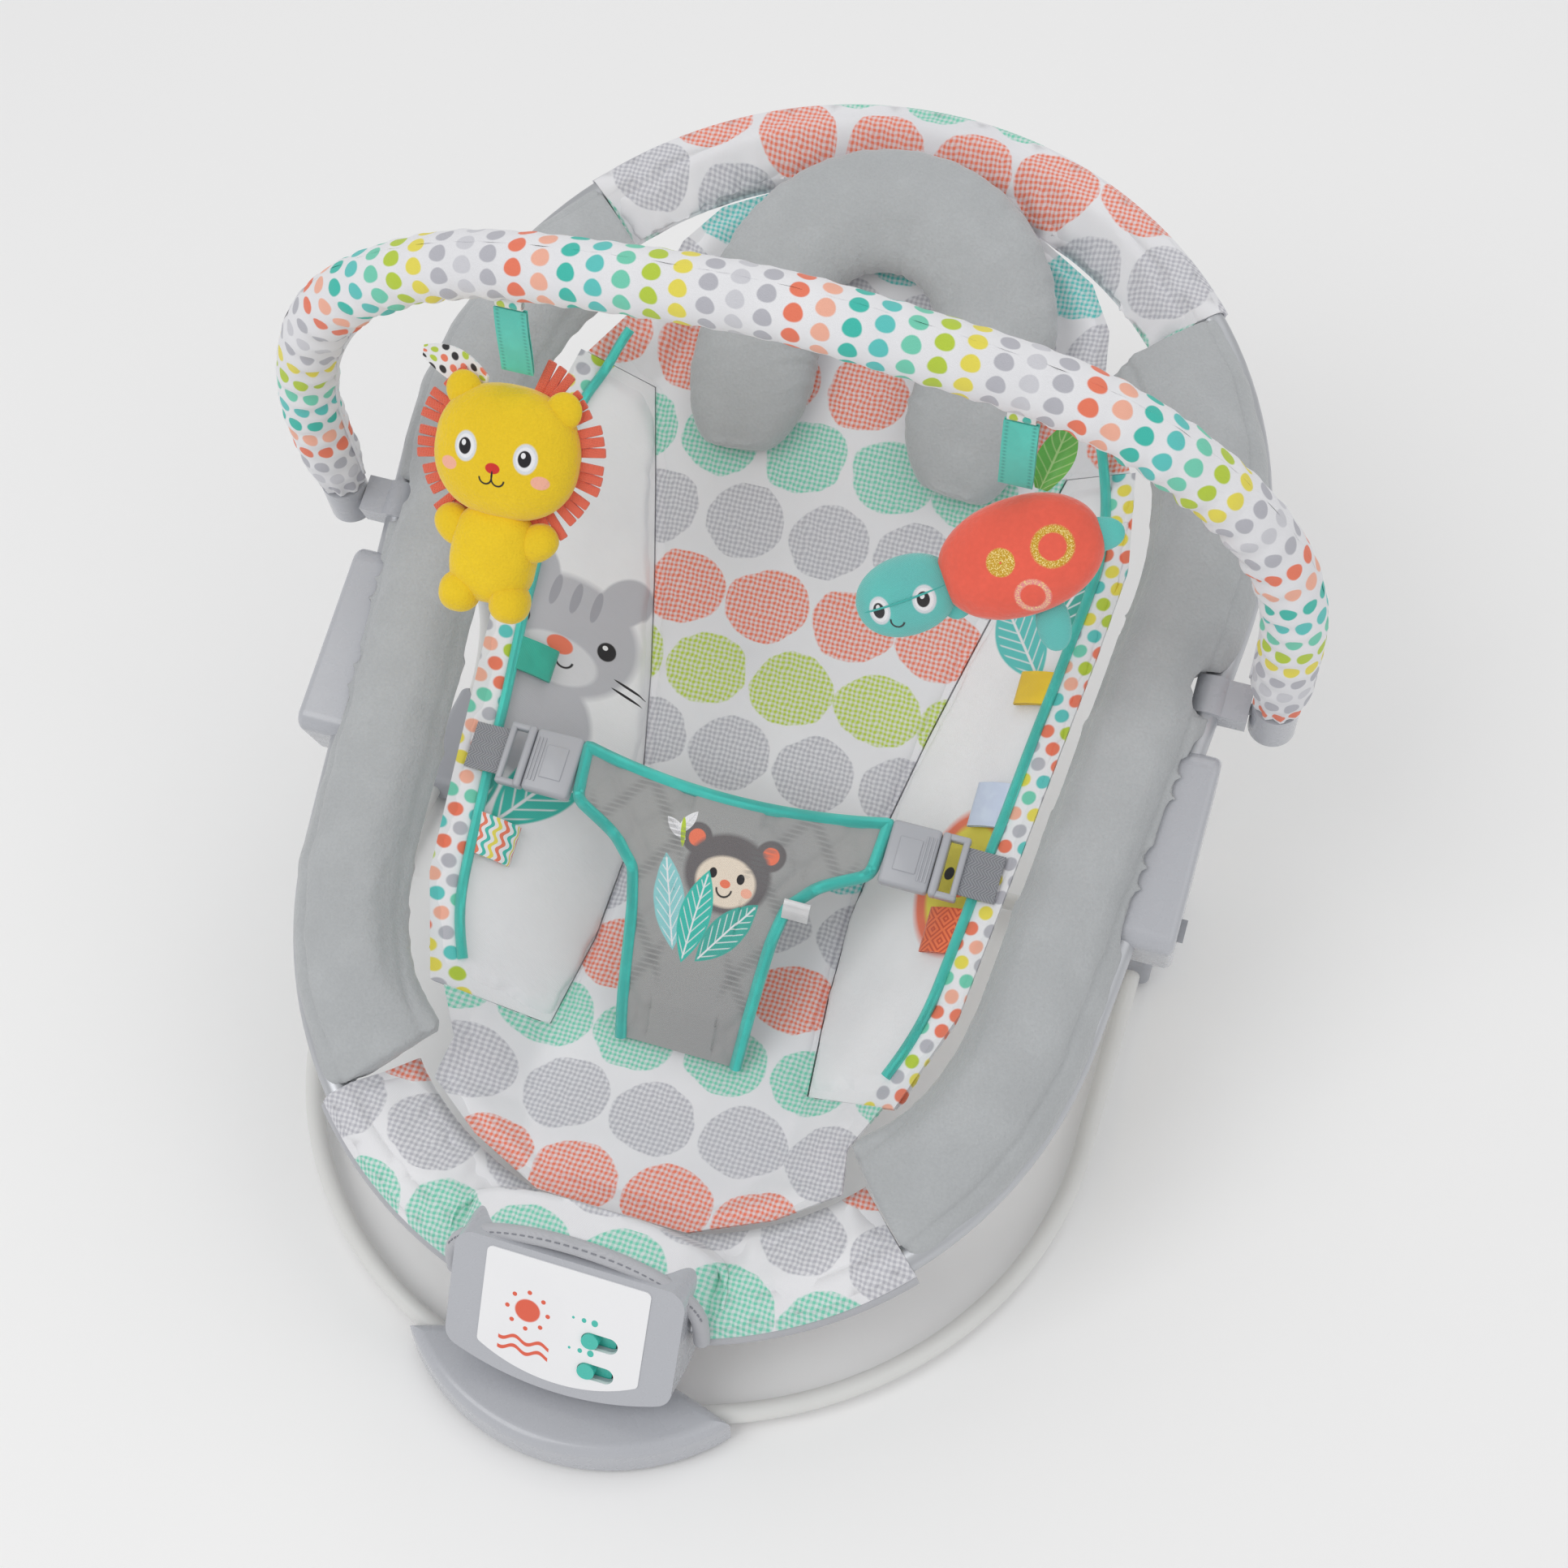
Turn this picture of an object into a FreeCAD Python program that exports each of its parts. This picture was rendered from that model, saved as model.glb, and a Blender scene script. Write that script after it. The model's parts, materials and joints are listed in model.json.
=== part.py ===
"""Baby bouncer seat: a wire base, a sprung tubular seat with its padding, a toy console and a toy bar.

Frame: millimetres, +X to the right seen from the front, +Y towards the head end, +Z up.
The origin is on the floor, under the middle of the whole seat. The seat itself is drawn flat, in its own
frame (X across, Y along the seat towards the head, Z out of the seat), and tilted into place.
"""
import FreeCAD, Part
import math
import os
import Sketcher
from FreeCAD import Placement, Rotation, Vector

doc = FreeCAD.newDocument("BouncerSeat")
X_AXIS, Y_AXIS, Z_AXIS = Vector(1, 0, 0), Vector(0, 1, 0), Vector(0, 0, 1)

# ---------------------------------------------------------------- driving dimensions

DIMENSIONS = {
    # seat rim, seen square to the seat
    "seat_tilt": 23.7, "seat_origin_y": -59, "rim_front_height": 60.7383,
    "back_radius": 228, "front_radius": 207, "rim_arc_spacing": 226, "front_arc_y": -30,
    "rim_tube": 14, "rim_wall": 1.2, "upper_tube_end": 75, "lower_tube_end": 45,
    # wire base: how far its front stands out past the rim, and where its rear bends stand
    "wire": 10, "wire_height": 10, "base_front_reach": 28, "leg_inset": 1,
    "bend_radius": 60, "bend_y": 71, "leg_end_along": 38.6, "leg_end_drop": 24.1, "bore_gap": 0.3,
    # feet: reaches are measured from the front of the wire, or from the rear bend
    "foot_half_width": 86, "foot_front_reach": 33, "foot_rear_reach": 23, "foot_waist_reach": 7,
    "foot_top": 24, "foot_wall": 2.5, "pad_height": 4, "pad_radius": 9, "wire_grip_x": 25,
    "rear_foot_front": 41, "rear_foot_rear": 33, "rear_foot_inner": 27, "rear_foot_outer": 10,
    "rear_foot_top": 22, "cross_wire_reach": 13, "socket_depth": 12,
    # side hubs
    "hub_front": 5, "hub_back": 110, "hub_top": 11, "hub_bottom": 38,
    "hub_outer": 21, "hub_inner": 15, "hub_wall": 2.5, "hub_button": 6, "hub_button_y": 24,
    "hub_button_drop": 20, "hub_screw_in": 9, "hub_screw_drop": 26, "button_proud": 3, "button_gap": 0.3,
    # toy console: reaches and heights are measured from the front of the rim
    "console_half_width": 59, "console_front_reach": 38, "console_rear_reach": 26,
    "console_split_reach": 4, "console_below": 24.7, "console_above": 43.3, "console_back_above": 32.3,
    "console_wall": 2.5, "panel_width": 84, "panel_side": 56, "panel_bow": 12,
    "panel_thick": 2, "panel_proud": 0.6, "panel_drop": 4, "switch_x": 20, "switch_pitch": 18,
    "switch_drop": 37, "slot_length": 19, "slot_width": 9, "knob_length": 9, "cell_radius": 7.25,
    "cell_length": 50.5, "motor_radius": 7.5, "motor_length": 16,
    # padding
    "bolster_in": 62, "bolster_out": 10, "bolster_crown": 30, "bolster_under": 9,
    "band_in": 34, "apron_in": 42, "band_crown": 9.5, "seam_top_in": 80, "seam_front_in": 65, "skin": 8,
    "pillow_radius": 66, "pillow_width": 74, "pillow_height": 36, "pillow_in": 124,
    "pillow_leg": 78, "pillow_out": -4, "pillow_lean": 10.7, "soft_gap": 0.4,
    # harness
    "crotch_thick": 7, "webbing_width": 25, "webbing_thick": 2,
    "buckle_width": 34, "buckle_thick": 9, "buckle_along": 22, "socket_length": 26, "tongue_length": 15,
    "prong_length": 8, "ribbon_length": 17,
    # toy bar
    "clamp_y": 140, "clamp_width": 20, "pin_radius": 3, "pin_gap": 0.06, "cup_radius": 12,
    "cup_depth": 24, "bar_reach": 18.2, "bar_rise": 250, "bar_lean": 12, "bar_tube": 14,
    "bar_straight": 70, "bar_top_radius": 520, "sleeve": 32, "sleeve_start": 14,
    # hanging toys
    "toy_x": 120, "strap_width": 16, "strap_thick": 2, "strap_length": 38, "loop_drop": 7,
    "toy_lean": 35, "toy_gap": 4,
}


class Size:
    """A size that carries its value and the expression that ties it to the spreadsheet."""

    def __init__(self, value, text):
        self.value, self.text = float(value), text

    def _with(self, other, sign, value):
        other_text = other.text if isinstance(other, Size) else repr(float(other))
        return Size(value, "(%s %s %s)" % (self.text, sign, other_text))

    def __add__(self, other):
        return self._with(other, "+", self.value + number(other))

    def __sub__(self, other):
        return self._with(other, "-", self.value - number(other))

    def __mul__(self, other):
        return self._with(other, "*", self.value * number(other))

    def __truediv__(self, other):
        return self._with(other, "/", self.value / number(other))

    def __neg__(self):
        return Size(-self.value, "(-1 * %s)" % self.text)

    def __radd__(self, other):
        return self + other

    def __rsub__(self, other):
        return (-self) + other

    def __rmul__(self, other):
        return self * other


def number(value):
    return value.value if isinstance(value, Size) else float(value)


def sine(size):
    return Size(math.sin(math.radians(size.value)), "sin(%s)" % size.text)


def cosine(size):
    return Size(math.cos(math.radians(size.value)), "cos(%s)" % size.text)


def arc_sine(size):
    return Size(math.degrees(math.asin(size.value)), "asin(%s)" % size.text)


def root(size):
    return Size(math.sqrt(size.value), "sqrt(%s)" % size.text)


def make_sheet():
    sheet = doc.addObject("Spreadsheet::Sheet", "Sizes")
    sizes = {}
    for row, (alias, value) in enumerate(DIMENSIONS.items(), start=1):
        sheet.set("A%d" % row, alias)
        sheet.set("B%d" % row, str(value))
        sheet.setAlias("B%d" % row, alias)
        sizes[alias] = Size(value, "Sizes." + alias)
    doc.recompute()
    return sizes


d = make_sheet()
parts = {}

# places that follow from the driving dimensions, so that what fits together stays together
rim_front = d["front_arc_y"] - d["front_radius"]
rim_front_y = d["seat_origin_y"] + rim_front * cosine(d["seat_tilt"])
rim_front_z = d["rim_front_height"]
seat_origin_z = rim_front_z - rim_front * sine(d["seat_tilt"])


def keep(node, obj):
    """Names the object as a sub-part: its label is the node's name."""
    obj.Label = node
    parts[node] = obj
    return obj


def bind(obj, prop, size):
    """Sets a property now and, where the size comes from the sheet, ties it there."""
    if isinstance(size, Size):
        obj.setExpression(prop, size.text)
    elif "." in prop:
        obj.setExpression(prop, repr(float(size)))
    else:
        setattr(obj, prop, size)


def place(obj, x=0, y=0, z=0, axis=None, angle=0):
    """Puts an object at a position given by sizes, turned about one axis."""
    start = Vector(number(x), number(y), number(z))
    obj.Placement = Placement(start, Rotation(axis or Z_AXIS, number(angle)))
    for name, size in (("x", x), ("y", y), ("z", z)):
        if isinstance(size, Size):
            obj.setExpression("Placement.Base." + name, size.text)
    if isinstance(angle, Size):
        obj.setExpression("Placement.Rotation.Angle", angle.text)
    return obj


# ---------------------------------------------------------------- drawing helpers

def new_body(name):
    return doc.addObject("PartDesign::Body", name)


def new_sketch(body, plane, x=0, y=0, z=0, axis=None, angle=0):
    """A sketch on one of the body's origin planes, moved by an offset in the plane's own axes."""
    sketch = body.newObject("Sketcher::SketchObject", body.Name + "Sketch")
    support = next(f for f in body.Origin.OriginFeatures if f.Role == plane)
    sketch.AttachmentSupport = (support, [""])
    sketch.MapMode = "FlatFace"
    offset = Vector(number(x), number(y), number(z))
    sketch.AttachmentOffset = Placement(offset, Rotation(axis or Y_AXIS, number(angle)))
    for name, size in (("x", x), ("y", y), ("z", z)):
        if isinstance(size, Size):
            sketch.setExpression("AttachmentOffset.Base." + name, size.text)
    if isinstance(angle, Size):
        sketch.setExpression("AttachmentOffset.Rotation.Angle", angle.text)
    return sketch


def dimension(sketch, kind, *args):
    """Adds one dimension to a sketch; its last argument is the size."""
    size = args[-1]
    value = number(size)
    index = sketch.addConstraint(Sketcher.Constraint(kind, *args[:-1], value))
    if isinstance(size, Size):
        sketch.setExpression("Constraints[%d]" % index, size.text)


def pin_point(sketch, geometry, end, x, y):
    dimension(sketch, "DistanceX", -1, 1, geometry, end, x)
    dimension(sketch, "DistanceY", -1, 1, geometry, end, y)


def circle(sketch, x, y, radius):
    centre = Vector(number(x), number(y), 0)
    index = sketch.addGeometry(Part.Circle(centre, Z_AXIS, number(radius)), False)
    pin_point(sketch, index, 3, x, y)
    dimension(sketch, "Radius", index, radius)


def arc_between(start, end, radius):
    """The shorter arc from start to end: a positive radius turns left, a negative one right."""
    chord = end - start
    middle = (start + end) * 0.5
    height = math.sqrt(max(radius ** 2 - (chord.Length / 2) ** 2, 0))
    left = Vector(-chord.y, chord.x, 0).normalize()
    side = 1 if radius > 0 else -1
    centre = middle + left * height * side
    crown = middle - centre
    crown = crown.normalize() * abs(radius) if crown.Length > 1e-6 else left * (-side * abs(radius))
    return Part.Arc(start, centre + crown, end), centre


def outline(sketch, points, closed=True):
    """Lines and arcs through points (x, y) or (x, y, radius): the radius is of the arc that ends there."""
    count = len(points)
    spots = [Vector(number(p[0]), number(p[1]), 0) for p in points]
    steps = [(i, (i + 1) % count) for i in range(count if closed else count - 1)]
    for start, end in steps:
        radius = points[end][2] if len(points[end]) > 2 else None
        if radius is None:
            index = sketch.addGeometry(Part.LineSegment(spots[start], spots[end]), False)
            first, last = 1, 2
        else:
            arc, centre = arc_between(spots[start], spots[end], number(radius))
            index = sketch.addGeometry(arc, False)
            first, last = (1, 2) if number(radius) > 0 else (2, 1)
        pin_point(sketch, index, last, points[end][0], points[end][1])
        if start == 0 and not closed:
            pin_point(sketch, index, first, points[start][0], points[start][1])
        if radius is not None:
            positive = radius if number(radius) > 0 else -radius
            dimension(sketch, "Radius", index, positive)
        if start != 0:
            before, before_end = index - 1, ends[1]
            sketch.addConstraint(Sketcher.Constraint("Coincident", before, before_end, index, first))
        else:
            opening = (index, first)
        ends = (first, last)
    if closed:
        sketch.addConstraint(Sketcher.Constraint("Coincident", index, last, opening[0], opening[1]))
    return sketch


def rectangle(sketch, x0, y0, x1, y1):
    return outline(sketch, [(x0, y0), (x1, y0), (x1, y1), (x0, y1)])


def pad(body, sketch, length, both=False, back=False):
    feature = body.newObject("PartDesign::Pad", body.Name + "Pad")
    feature.Profile = sketch
    bind(feature, "Length", length)
    feature.Midplane = both
    feature.Reversed = back
    return feature


def pocket(body, sketch, depth, both=False, back=False):
    feature = body.newObject("PartDesign::Pocket", body.Name + "Pocket")
    feature.Profile = sketch
    bind(feature, "Length", depth)
    feature.Midplane = both
    feature.Reversed = back
    return feature


def pipe(body, profile, path):
    feature = body.newObject("PartDesign::AdditivePipe", body.Name + "Pipe")
    feature.Profile = profile
    feature.Spine = (path, ["Edge%d" % (i + 1) for i in range(path.GeometryCount)])
    return feature


def fillet(body, radius, chosen):
    """Rounds the edges of the body's tip that the test picks."""
    doc.recompute()
    base = body.Tip
    names = ["Edge%d" % (i + 1) for i, edge in enumerate(base.Shape.Edges) if chosen(edge)]
    feature = body.newObject("PartDesign::Fillet", body.Name + "Fillet")
    feature.Base = (base, names)
    bind(feature, "Radius", radius)
    doc.recompute()
    return feature


def middle_of(edge):
    return edge.CenterOfMass


def runs_along_z(edge):
    return abs(edge.tangentAt(edge.FirstParameter).z) > 0.95


def cylinder(name, radius, height, x, y, z, axis=None, angle=0):
    obj = doc.addObject("Part::Cylinder", name)
    bind(obj, "Radius", radius)
    bind(obj, "Height", height)
    return place(obj, x, y, z, axis, angle)


def block(name, length, width, height, x, y, z, axis=None, angle=0):
    obj = doc.addObject("Part::Box", name)
    bind(obj, "Length", length)
    bind(obj, "Width", width)
    bind(obj, "Height", height)
    return place(obj, x, y, z, axis, angle)


def cut(name, base, *tools):
    for number_of_tool, tool in enumerate(tools):
        obj = doc.addObject("Part::Cut", name if number_of_tool == 0 else name + str(number_of_tool))
        obj.Base, obj.Tool = base, tool
        base = obj
    return base


def common(name, base, tool):
    obj = doc.addObject("Part::Common", name)
    obj.Base, obj.Tool = base, tool
    return obj


def fuse(name, *objects):
    obj = doc.addObject("Part::MultiFuse", name)
    obj.Shapes = list(objects)
    return obj


def group(name, *objects):
    obj = doc.addObject("Part::Compound", name)
    obj.Links = list(objects)
    return obj


def mirrored(name, source):
    """The same piece on the other side of the seat."""
    obj = doc.addObject("Part::Mirroring", name)
    obj.Source = source
    obj.Normal = X_AXIS
    return obj


def soft_shape(name, shape):
    obj = doc.addObject("Part::Feature", name)
    obj.Shape = shape
    return obj


def in_seat(obj):
    """Tilts an object drawn in the seat's own frame into place."""
    return place(obj, 0, d["seat_origin_y"], seat_origin_z, X_AXIS, d["seat_tilt"])


def from_seat(along, out):
    """Where a point of the seat's side view lies on the finished object: its Y and its Z."""
    tilt = d["seat_tilt"]
    y = d["seat_origin_y"] + along * cosine(tilt) - out * sine(tilt)
    z = seat_origin_z + along * sine(tilt) + out * cosine(tilt)
    return y, z


# ---------------------------------------------------------------- shape of the seat rim

def rim_corners():
    """The points where the rim's straight sides meet its front and back arcs, on the right."""
    lean = (d["back_radius"] - d["front_radius"]) / d["rim_arc_spacing"]
    across = root(1 - lean * lean)
    back, front = d["back_radius"], d["front_radius"]
    back_y = d["front_arc_y"] + d["rim_arc_spacing"]
    front_point = (front * across, d["front_arc_y"] - front * lean)
    back_point = (back * across, back_y - back * lean)
    return front_point, back_point, lean, across


def side_x(along):
    """The rim's half width beside a point of the straight side."""
    (front_x, front_y), back_point, lean, across = rim_corners()
    return front_x + (along - front_y) * lean / across


hub_plane = side_x((d["hub_front"] + d["hub_back"]) / 2)


# ---------------------------------------------------------------- wire base

wire_radius = d["wire"] / 2
leg_x = hub_plane - d["leg_inset"]
floor_front = rim_front_y - d["base_front_reach"]
floor_arc_y = floor_front + leg_x
foot_waist = floor_front + d["foot_waist_reach"]
rear_foot_front = d["bend_y"] - d["rear_foot_front"]
rear_foot_rear = d["bend_y"] + d["rear_foot_rear"]


def floor_path(body):
    """From inside the front foot, round the front of the base and straight back along the floor."""
    sketch = new_sketch(body, "XY_Plane", z=d["wire_height"])
    grip = d["wire_grip_x"]
    grip_y = floor_arc_y - root(leg_x * leg_x - grip * grip)
    start, corner = (grip, grip_y), (leg_x, floor_arc_y, leg_x)
    return outline(sketch, [start, corner, (leg_x, rear_foot_front + d["socket_depth"])], closed=False)


def floor_wire(name, radius):
    body = new_body(name)
    path = floor_path(body)
    end_y = rear_foot_front + d["socket_depth"]
    profile = new_sketch(body, "XZ_Plane", x=leg_x, y=d["wire_height"], z=-end_y)
    circle(profile, 0, 0, radius)
    feature = body.newObject("PartDesign::AdditivePipe", name + "Pipe")
    feature.Profile = profile
    feature.Spine = (path, ["Edge2", "Edge1"])
    return body


def leg_wire(name, radius, start_angle):
    """The spring leg: up round the rear bend and forward to the hub."""
    body = place(new_body(name), leg_x)
    centre_z = d["wire_height"] + d["bend_radius"]
    sketch = new_sketch(body, "YZ_Plane")
    bend = d["bend_radius"]
    end_y, end_z = from_seat(d["leg_end_along"], -d["leg_end_drop"])
    run, climb = d["bend_y"] - end_y, end_z - centre_z
    span = root(run * run + climb * climb)
    rise = arc_sine(climb / span) - arc_sine(bend / span)
    first = Size(start_angle, repr(float(start_angle)))
    start = (d["bend_y"] + bend * cosine(first), centre_z + bend * sine(first))
    rear = (d["bend_y"] + bend, centre_z, bend)
    top_y, top_z = d["bend_y"] + bend * sine(rise), centre_z + bend * cosine(rise)
    outline(sketch, [start, rear, (top_y, top_z, bend), (end_y, end_z)], closed=False)
    profile = new_sketch(body, "XZ_Plane", x=0, y=end_z, z=-end_y, axis=X_AXIS, angle=-rise)
    circle(profile, 0, 0, radius)
    feature = body.newObject("PartDesign::AdditivePipe", name + "Pipe")
    feature.Profile = profile
    feature.Spine = (sketch, ["Edge3", "Edge2", "Edge1"])
    return body


def foot_outline(sketch, inset):
    """The front foot in plan: a crescent with a deep front curve and a shallow rear one."""
    half = d["foot_half_width"] - 2.4 * inset
    front = d["foot_front_reach"] + d["foot_waist_reach"] - inset
    rear = d["foot_rear_reach"] - d["foot_waist_reach"] - inset
    front_radius = (half * half + front * front) / (2 * front)
    rear_radius = (half * half + rear * rear) / (2 * rear)
    return outline(sketch, [(-half, foot_waist, rear_radius), (half, foot_waist, front_radius)])


def make_front_foot(wire_space):
    cover = new_body("FrontFootCover")
    pad(cover, foot_outline(new_sketch(cover, "XY_Plane", z=d["pad_height"]), 0),
        d["foot_top"] - d["pad_height"])
    fillet(cover, 6, lambda e: middle_of(e).z > d["foot_top"].value - 0.1)
    hollow = foot_outline(new_sketch(cover, "XY_Plane", z=d["pad_height"]), d["foot_wall"])
    pocket(cover, hollow, d["foot_top"] - d["pad_height"] - 1.6 * d["foot_wall"], back=True)
    keep("front_foot_cover", cut("FrontFootCoverCut", cover, wire_space, mirrored("WireSpaceLeft", wire_space)))

    base = new_body("FrontFootBase")
    pad(base, foot_outline(new_sketch(base, "XY_Plane", z=d["pad_height"]), d["foot_wall"] + 0.2), 2.5)
    saddles, saddle = [], 16
    for side in (-1, 1):
        saddle_x = side * d["foot_half_width"] / 2 - saddle / 2
        saddles.append(block("WireSaddle", saddle, 14, d["wire_height"] - d["pad_height"], saddle_x,
                             floor_front - 5, d["pad_height"]))
    tray = fuse("FrontFootTray", base, *saddles)
    keep("front_foot_base", cut("FrontFootBaseCut", tray, wire_space, mirrored("WireSpaceLeft2", wire_space)))

    pad_x = d["foot_half_width"] - 28
    pads = [cylinder("FootPad", d["pad_radius"], d["pad_height"], side * pad_x, foot_waist - 6, 0)
            for side in (-1, 1)]
    keep("front_foot_pads", group("FrontFootPads", *pads))


def make_rear_feet(wire_space, leg_space):
    """Sleeves on the floor that join each floor wire, the rear cross wire and a spring leg."""
    foot = new_body("RearFoot")
    inner, outer = leg_x - d["rear_foot_inner"], leg_x + d["rear_foot_outer"]
    cross_y = d["bend_y"] - d["cross_wire_reach"]
    plan = new_sketch(foot, "XY_Plane", z=d["pad_height"])
    rectangle(plan, inner, rear_foot_front, outer, rear_foot_rear)
    pad(foot, plan, d["rear_foot_top"] - d["pad_height"])
    fillet(foot, 5, runs_along_z)
    fillet(foot, 4, lambda e: middle_of(e).z > d["rear_foot_top"].value - 0.1)
    socket = cylinder("CrossSocket", wire_radius, d["socket_depth"], inner, cross_y, d["wire_height"],
                      Y_AXIS, 90)
    right = keep("right_rear_foot", cut("RearFootCut", foot, wire_space, leg_space, socket))
    keep("left_rear_foot", mirrored("RearFootLeft", right))
    reach = inner + d["socket_depth"]
    cross = cylinder("RearCrossWire", wire_radius, 2 * reach, -reach, cross_y, d["wire_height"],
                     Y_AXIS, 90)
    keep("rear_cross_wire", cross)
    pads = []
    for side in (-1, 1):
        for y in (rear_foot_front + 12, rear_foot_rear - 14):
            pads.append(cylinder("RearPad", d["pad_radius"] - 1, d["pad_height"], side * (leg_x - 8), y, 0))
    keep("rear_foot_pads", group("RearFootPads", *pads))


def make_base():
    wire = floor_wire("FloorWire", wire_radius)
    keep("right_floor_wire", wire)
    keep("left_floor_wire", mirrored("FloorWireLeft", wire))
    leg = leg_wire("SpringLeg", wire_radius, -95)
    keep("right_spring_leg", leg)
    keep("left_spring_leg", mirrored("SpringLegLeft", leg))
    leg_space = leg_wire("SpringLegSpace", wire_radius + d["bore_gap"], -102)
    make_front_foot(wire)
    make_rear_feet(wire, leg_space)
    return leg


# ---------------------------------------------------------------- seat frame

def rim_wire(name, radius, end_y, back):
    """One half of the rim: from the right side, round the back or the front, to the left side."""
    body = in_seat(new_body(name))
    front_point, back_point, lean, across = rim_corners()
    x, y = back_point if back else front_point
    arc_radius = d["back_radius"] if back else -d["front_radius"]
    arc_y = d["front_arc_y"] + d["rim_arc_spacing"] if back else d["front_arc_y"]
    crown_y = arc_y + d["back_radius"] if back else arc_y - d["front_radius"]
    end_x = side_x(end_y)
    path = new_sketch(body, "XY_Plane")
    outline(path, [(end_x, end_y), (x, y), (0, crown_y, arc_radius), (-x, y, arc_radius),
                   (-end_x, end_y)], closed=False)
    angle = Size(-math.degrees(math.asin(lean.value)), "(-1 * asin(%s))" % lean.text)
    profile = new_sketch(body, "XZ_Plane", x=end_x, z=-end_y, axis=Y_AXIS, angle=angle)
    circle(profile, 0, 0, radius)
    pipe(body, profile, path)
    return body


def make_rim():
    radius = d["rim_tube"] / 2
    spaces = []
    for node, end_y, back in (("upper_seat_tube", d["upper_tube_end"], True),
                              ("lower_seat_tube", d["lower_tube_end"], False)):
        outside = rim_wire(node + "_outside", radius, end_y, back)
        inside = rim_wire(node + "_inside", radius - d["rim_wall"], end_y, back)
        keep(node, cut(node + "_cut", outside, inside))
        spaces.append(outside)
    return spaces


def hub_half(name, split, wall_side, sign):
    """Half of the side hub: a rounded shell, open at the face where the halves meet."""
    body = in_seat(new_body(name))
    full = new_sketch(body, "YZ_Plane", z=split)
    rectangle(full, d["hub_front"], -d["hub_bottom"], d["hub_back"], d["hub_top"])
    pad(body, full, wall_side, back=sign < 0)
    fillet(body, 9, lambda e: abs(e.tangentAt(e.FirstParameter).x) > 0.9)
    outer_x = split.value + sign * wall_side.value
    fillet(body, 4, lambda e: abs(middle_of(e).x - outer_x) < 0.01)
    wall = d["hub_wall"]
    hollow = new_sketch(body, "YZ_Plane", z=split)
    rectangle(hollow, d["hub_front"] + 3 * wall, wall - d["hub_bottom"], d["hub_back"] - 3 * wall,
              d["hub_top"] - wall)
    pocket(body, hollow, wall_side - wall, back=sign > 0)
    return body


def make_hubs(tube_spaces, leg):
    """Hub halves, their button and screws, on the right, then mirrored."""
    button_at = (d["hub_button_y"], -d["hub_button_drop"])
    guide_start, guide_length = hub_plane + 8, d["hub_outer"] - 8
    guide = in_seat_cylinder("ButtonGuide", d["hub_button"] + 3, guide_length, guide_start, *button_at)
    hole = in_seat_cylinder("ButtonHole", d["hub_button"] + d["button_gap"], guide_length + 1, guide_start,
                            *button_at)
    inside = 10
    button = in_seat_cylinder("HubButton", d["hub_button"], d["button_proud"] + inside,
                              hub_plane + d["hub_outer"] - inside, *button_at)
    screw_at = (d["hub_back"] - d["hub_screw_in"], -d["hub_screw_drop"])
    back = hub_plane - d["hub_inner"]
    shank = in_seat_cylinder("HubScrewShank", 1.6, d["hub_inner"] + 11, back + 2, *screw_at)
    head = in_seat_cylinder("HubScrewHead", 3.5, 2, back, *screw_at)
    screw = fuse("HubScrew", shank, head)
    outer = hub_half("HubOuter", hub_plane, d["hub_outer"], 1)
    inner = hub_half("HubInner", hub_plane, d["hub_inner"], -1)
    boss = in_seat_cylinder("HubBoss", 4.5, d["hub_outer"] - 5, hub_plane, *screw_at)
    inner_boss = in_seat_cylinder("HubInnerBoss", 5, d["hub_inner"] - 1, back + 1, *screw_at)
    outer_full = fuse("HubOuterFull", outer, guide, boss)
    inner_full = fuse("HubInnerFull", inner, inner_boss)
    keep("right_hub_outer", cut("HubOuterCut", outer_full, *tube_spaces, leg, hole, screw))
    keep("right_hub_inner", cut("HubInnerCut", inner_full, *tube_spaces, leg, screw))
    keep("right_hub_button", button)
    for piece in ("hub_outer", "hub_inner", "hub_button"):
        keep("left_" + piece, mirrored("Left_" + piece, parts["right_" + piece]))
    keep("hub_screws", group("HubScrews", screw, mirrored("HubScrewLeft", screw)))


def in_seat_cylinder(name, radius, height, x, along, out):
    """A cylinder along X whose start is given in the seat's own frame."""
    obj = doc.addObject("Part::Cylinder", name)
    bind(obj, "Radius", radius)
    bind(obj, "Height", height)
    y, z = from_seat(along, out)
    return place(obj, x, y, z, Y_AXIS, 90)


leg = make_base()
tube_spaces = make_rim()
make_hubs(tube_spaces, leg)
doc.recompute()


# ---------------------------------------------------------------- toy console

console_front = rim_front_y - d["console_front_reach"]
console_back = rim_front_y + d["console_rear_reach"]
console_split = rim_front_y + d["console_split_reach"]
console_bottom = rim_front_z - d["console_below"]
face_top_z = rim_front_z + d["console_above"]
console_back_top = rim_front_z + d["console_back_above"]
face_rise = face_top_z - console_bottom
face_run = rim_front_y - console_front
face_length = root(face_rise * face_rise + face_run * face_run)
face_tilt = Size(math.degrees(math.atan2(face_rise.value, face_run.value)),
                 "atan(%s / %s)" % (face_rise.text, face_run.text))


def on_face(obj):
    """Sets an object drawn on the console's face: X across, Y up the face from its top edge, Z outwards."""
    return place(obj, 0, rim_front_y, face_top_z, X_AXIS, face_tilt)


def face_point(y, z):
    """A point of the side view, in the face's own axes."""
    run, rise = y - rim_front_y, z - face_top_z
    return run * cosine(face_tilt) + rise * sine(face_tilt), rise * cosine(face_tilt) - run * sine(face_tilt)


def bow_radius(half, bow):
    return (half * half + bow * bow) / (2 * bow)


def beyond(near, far, share):
    """The point past the near end of a line, by a share of its length."""
    return near[0] - (far[0] - near[0]) * share, near[1] - (far[1] - near[1]) * share


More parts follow.
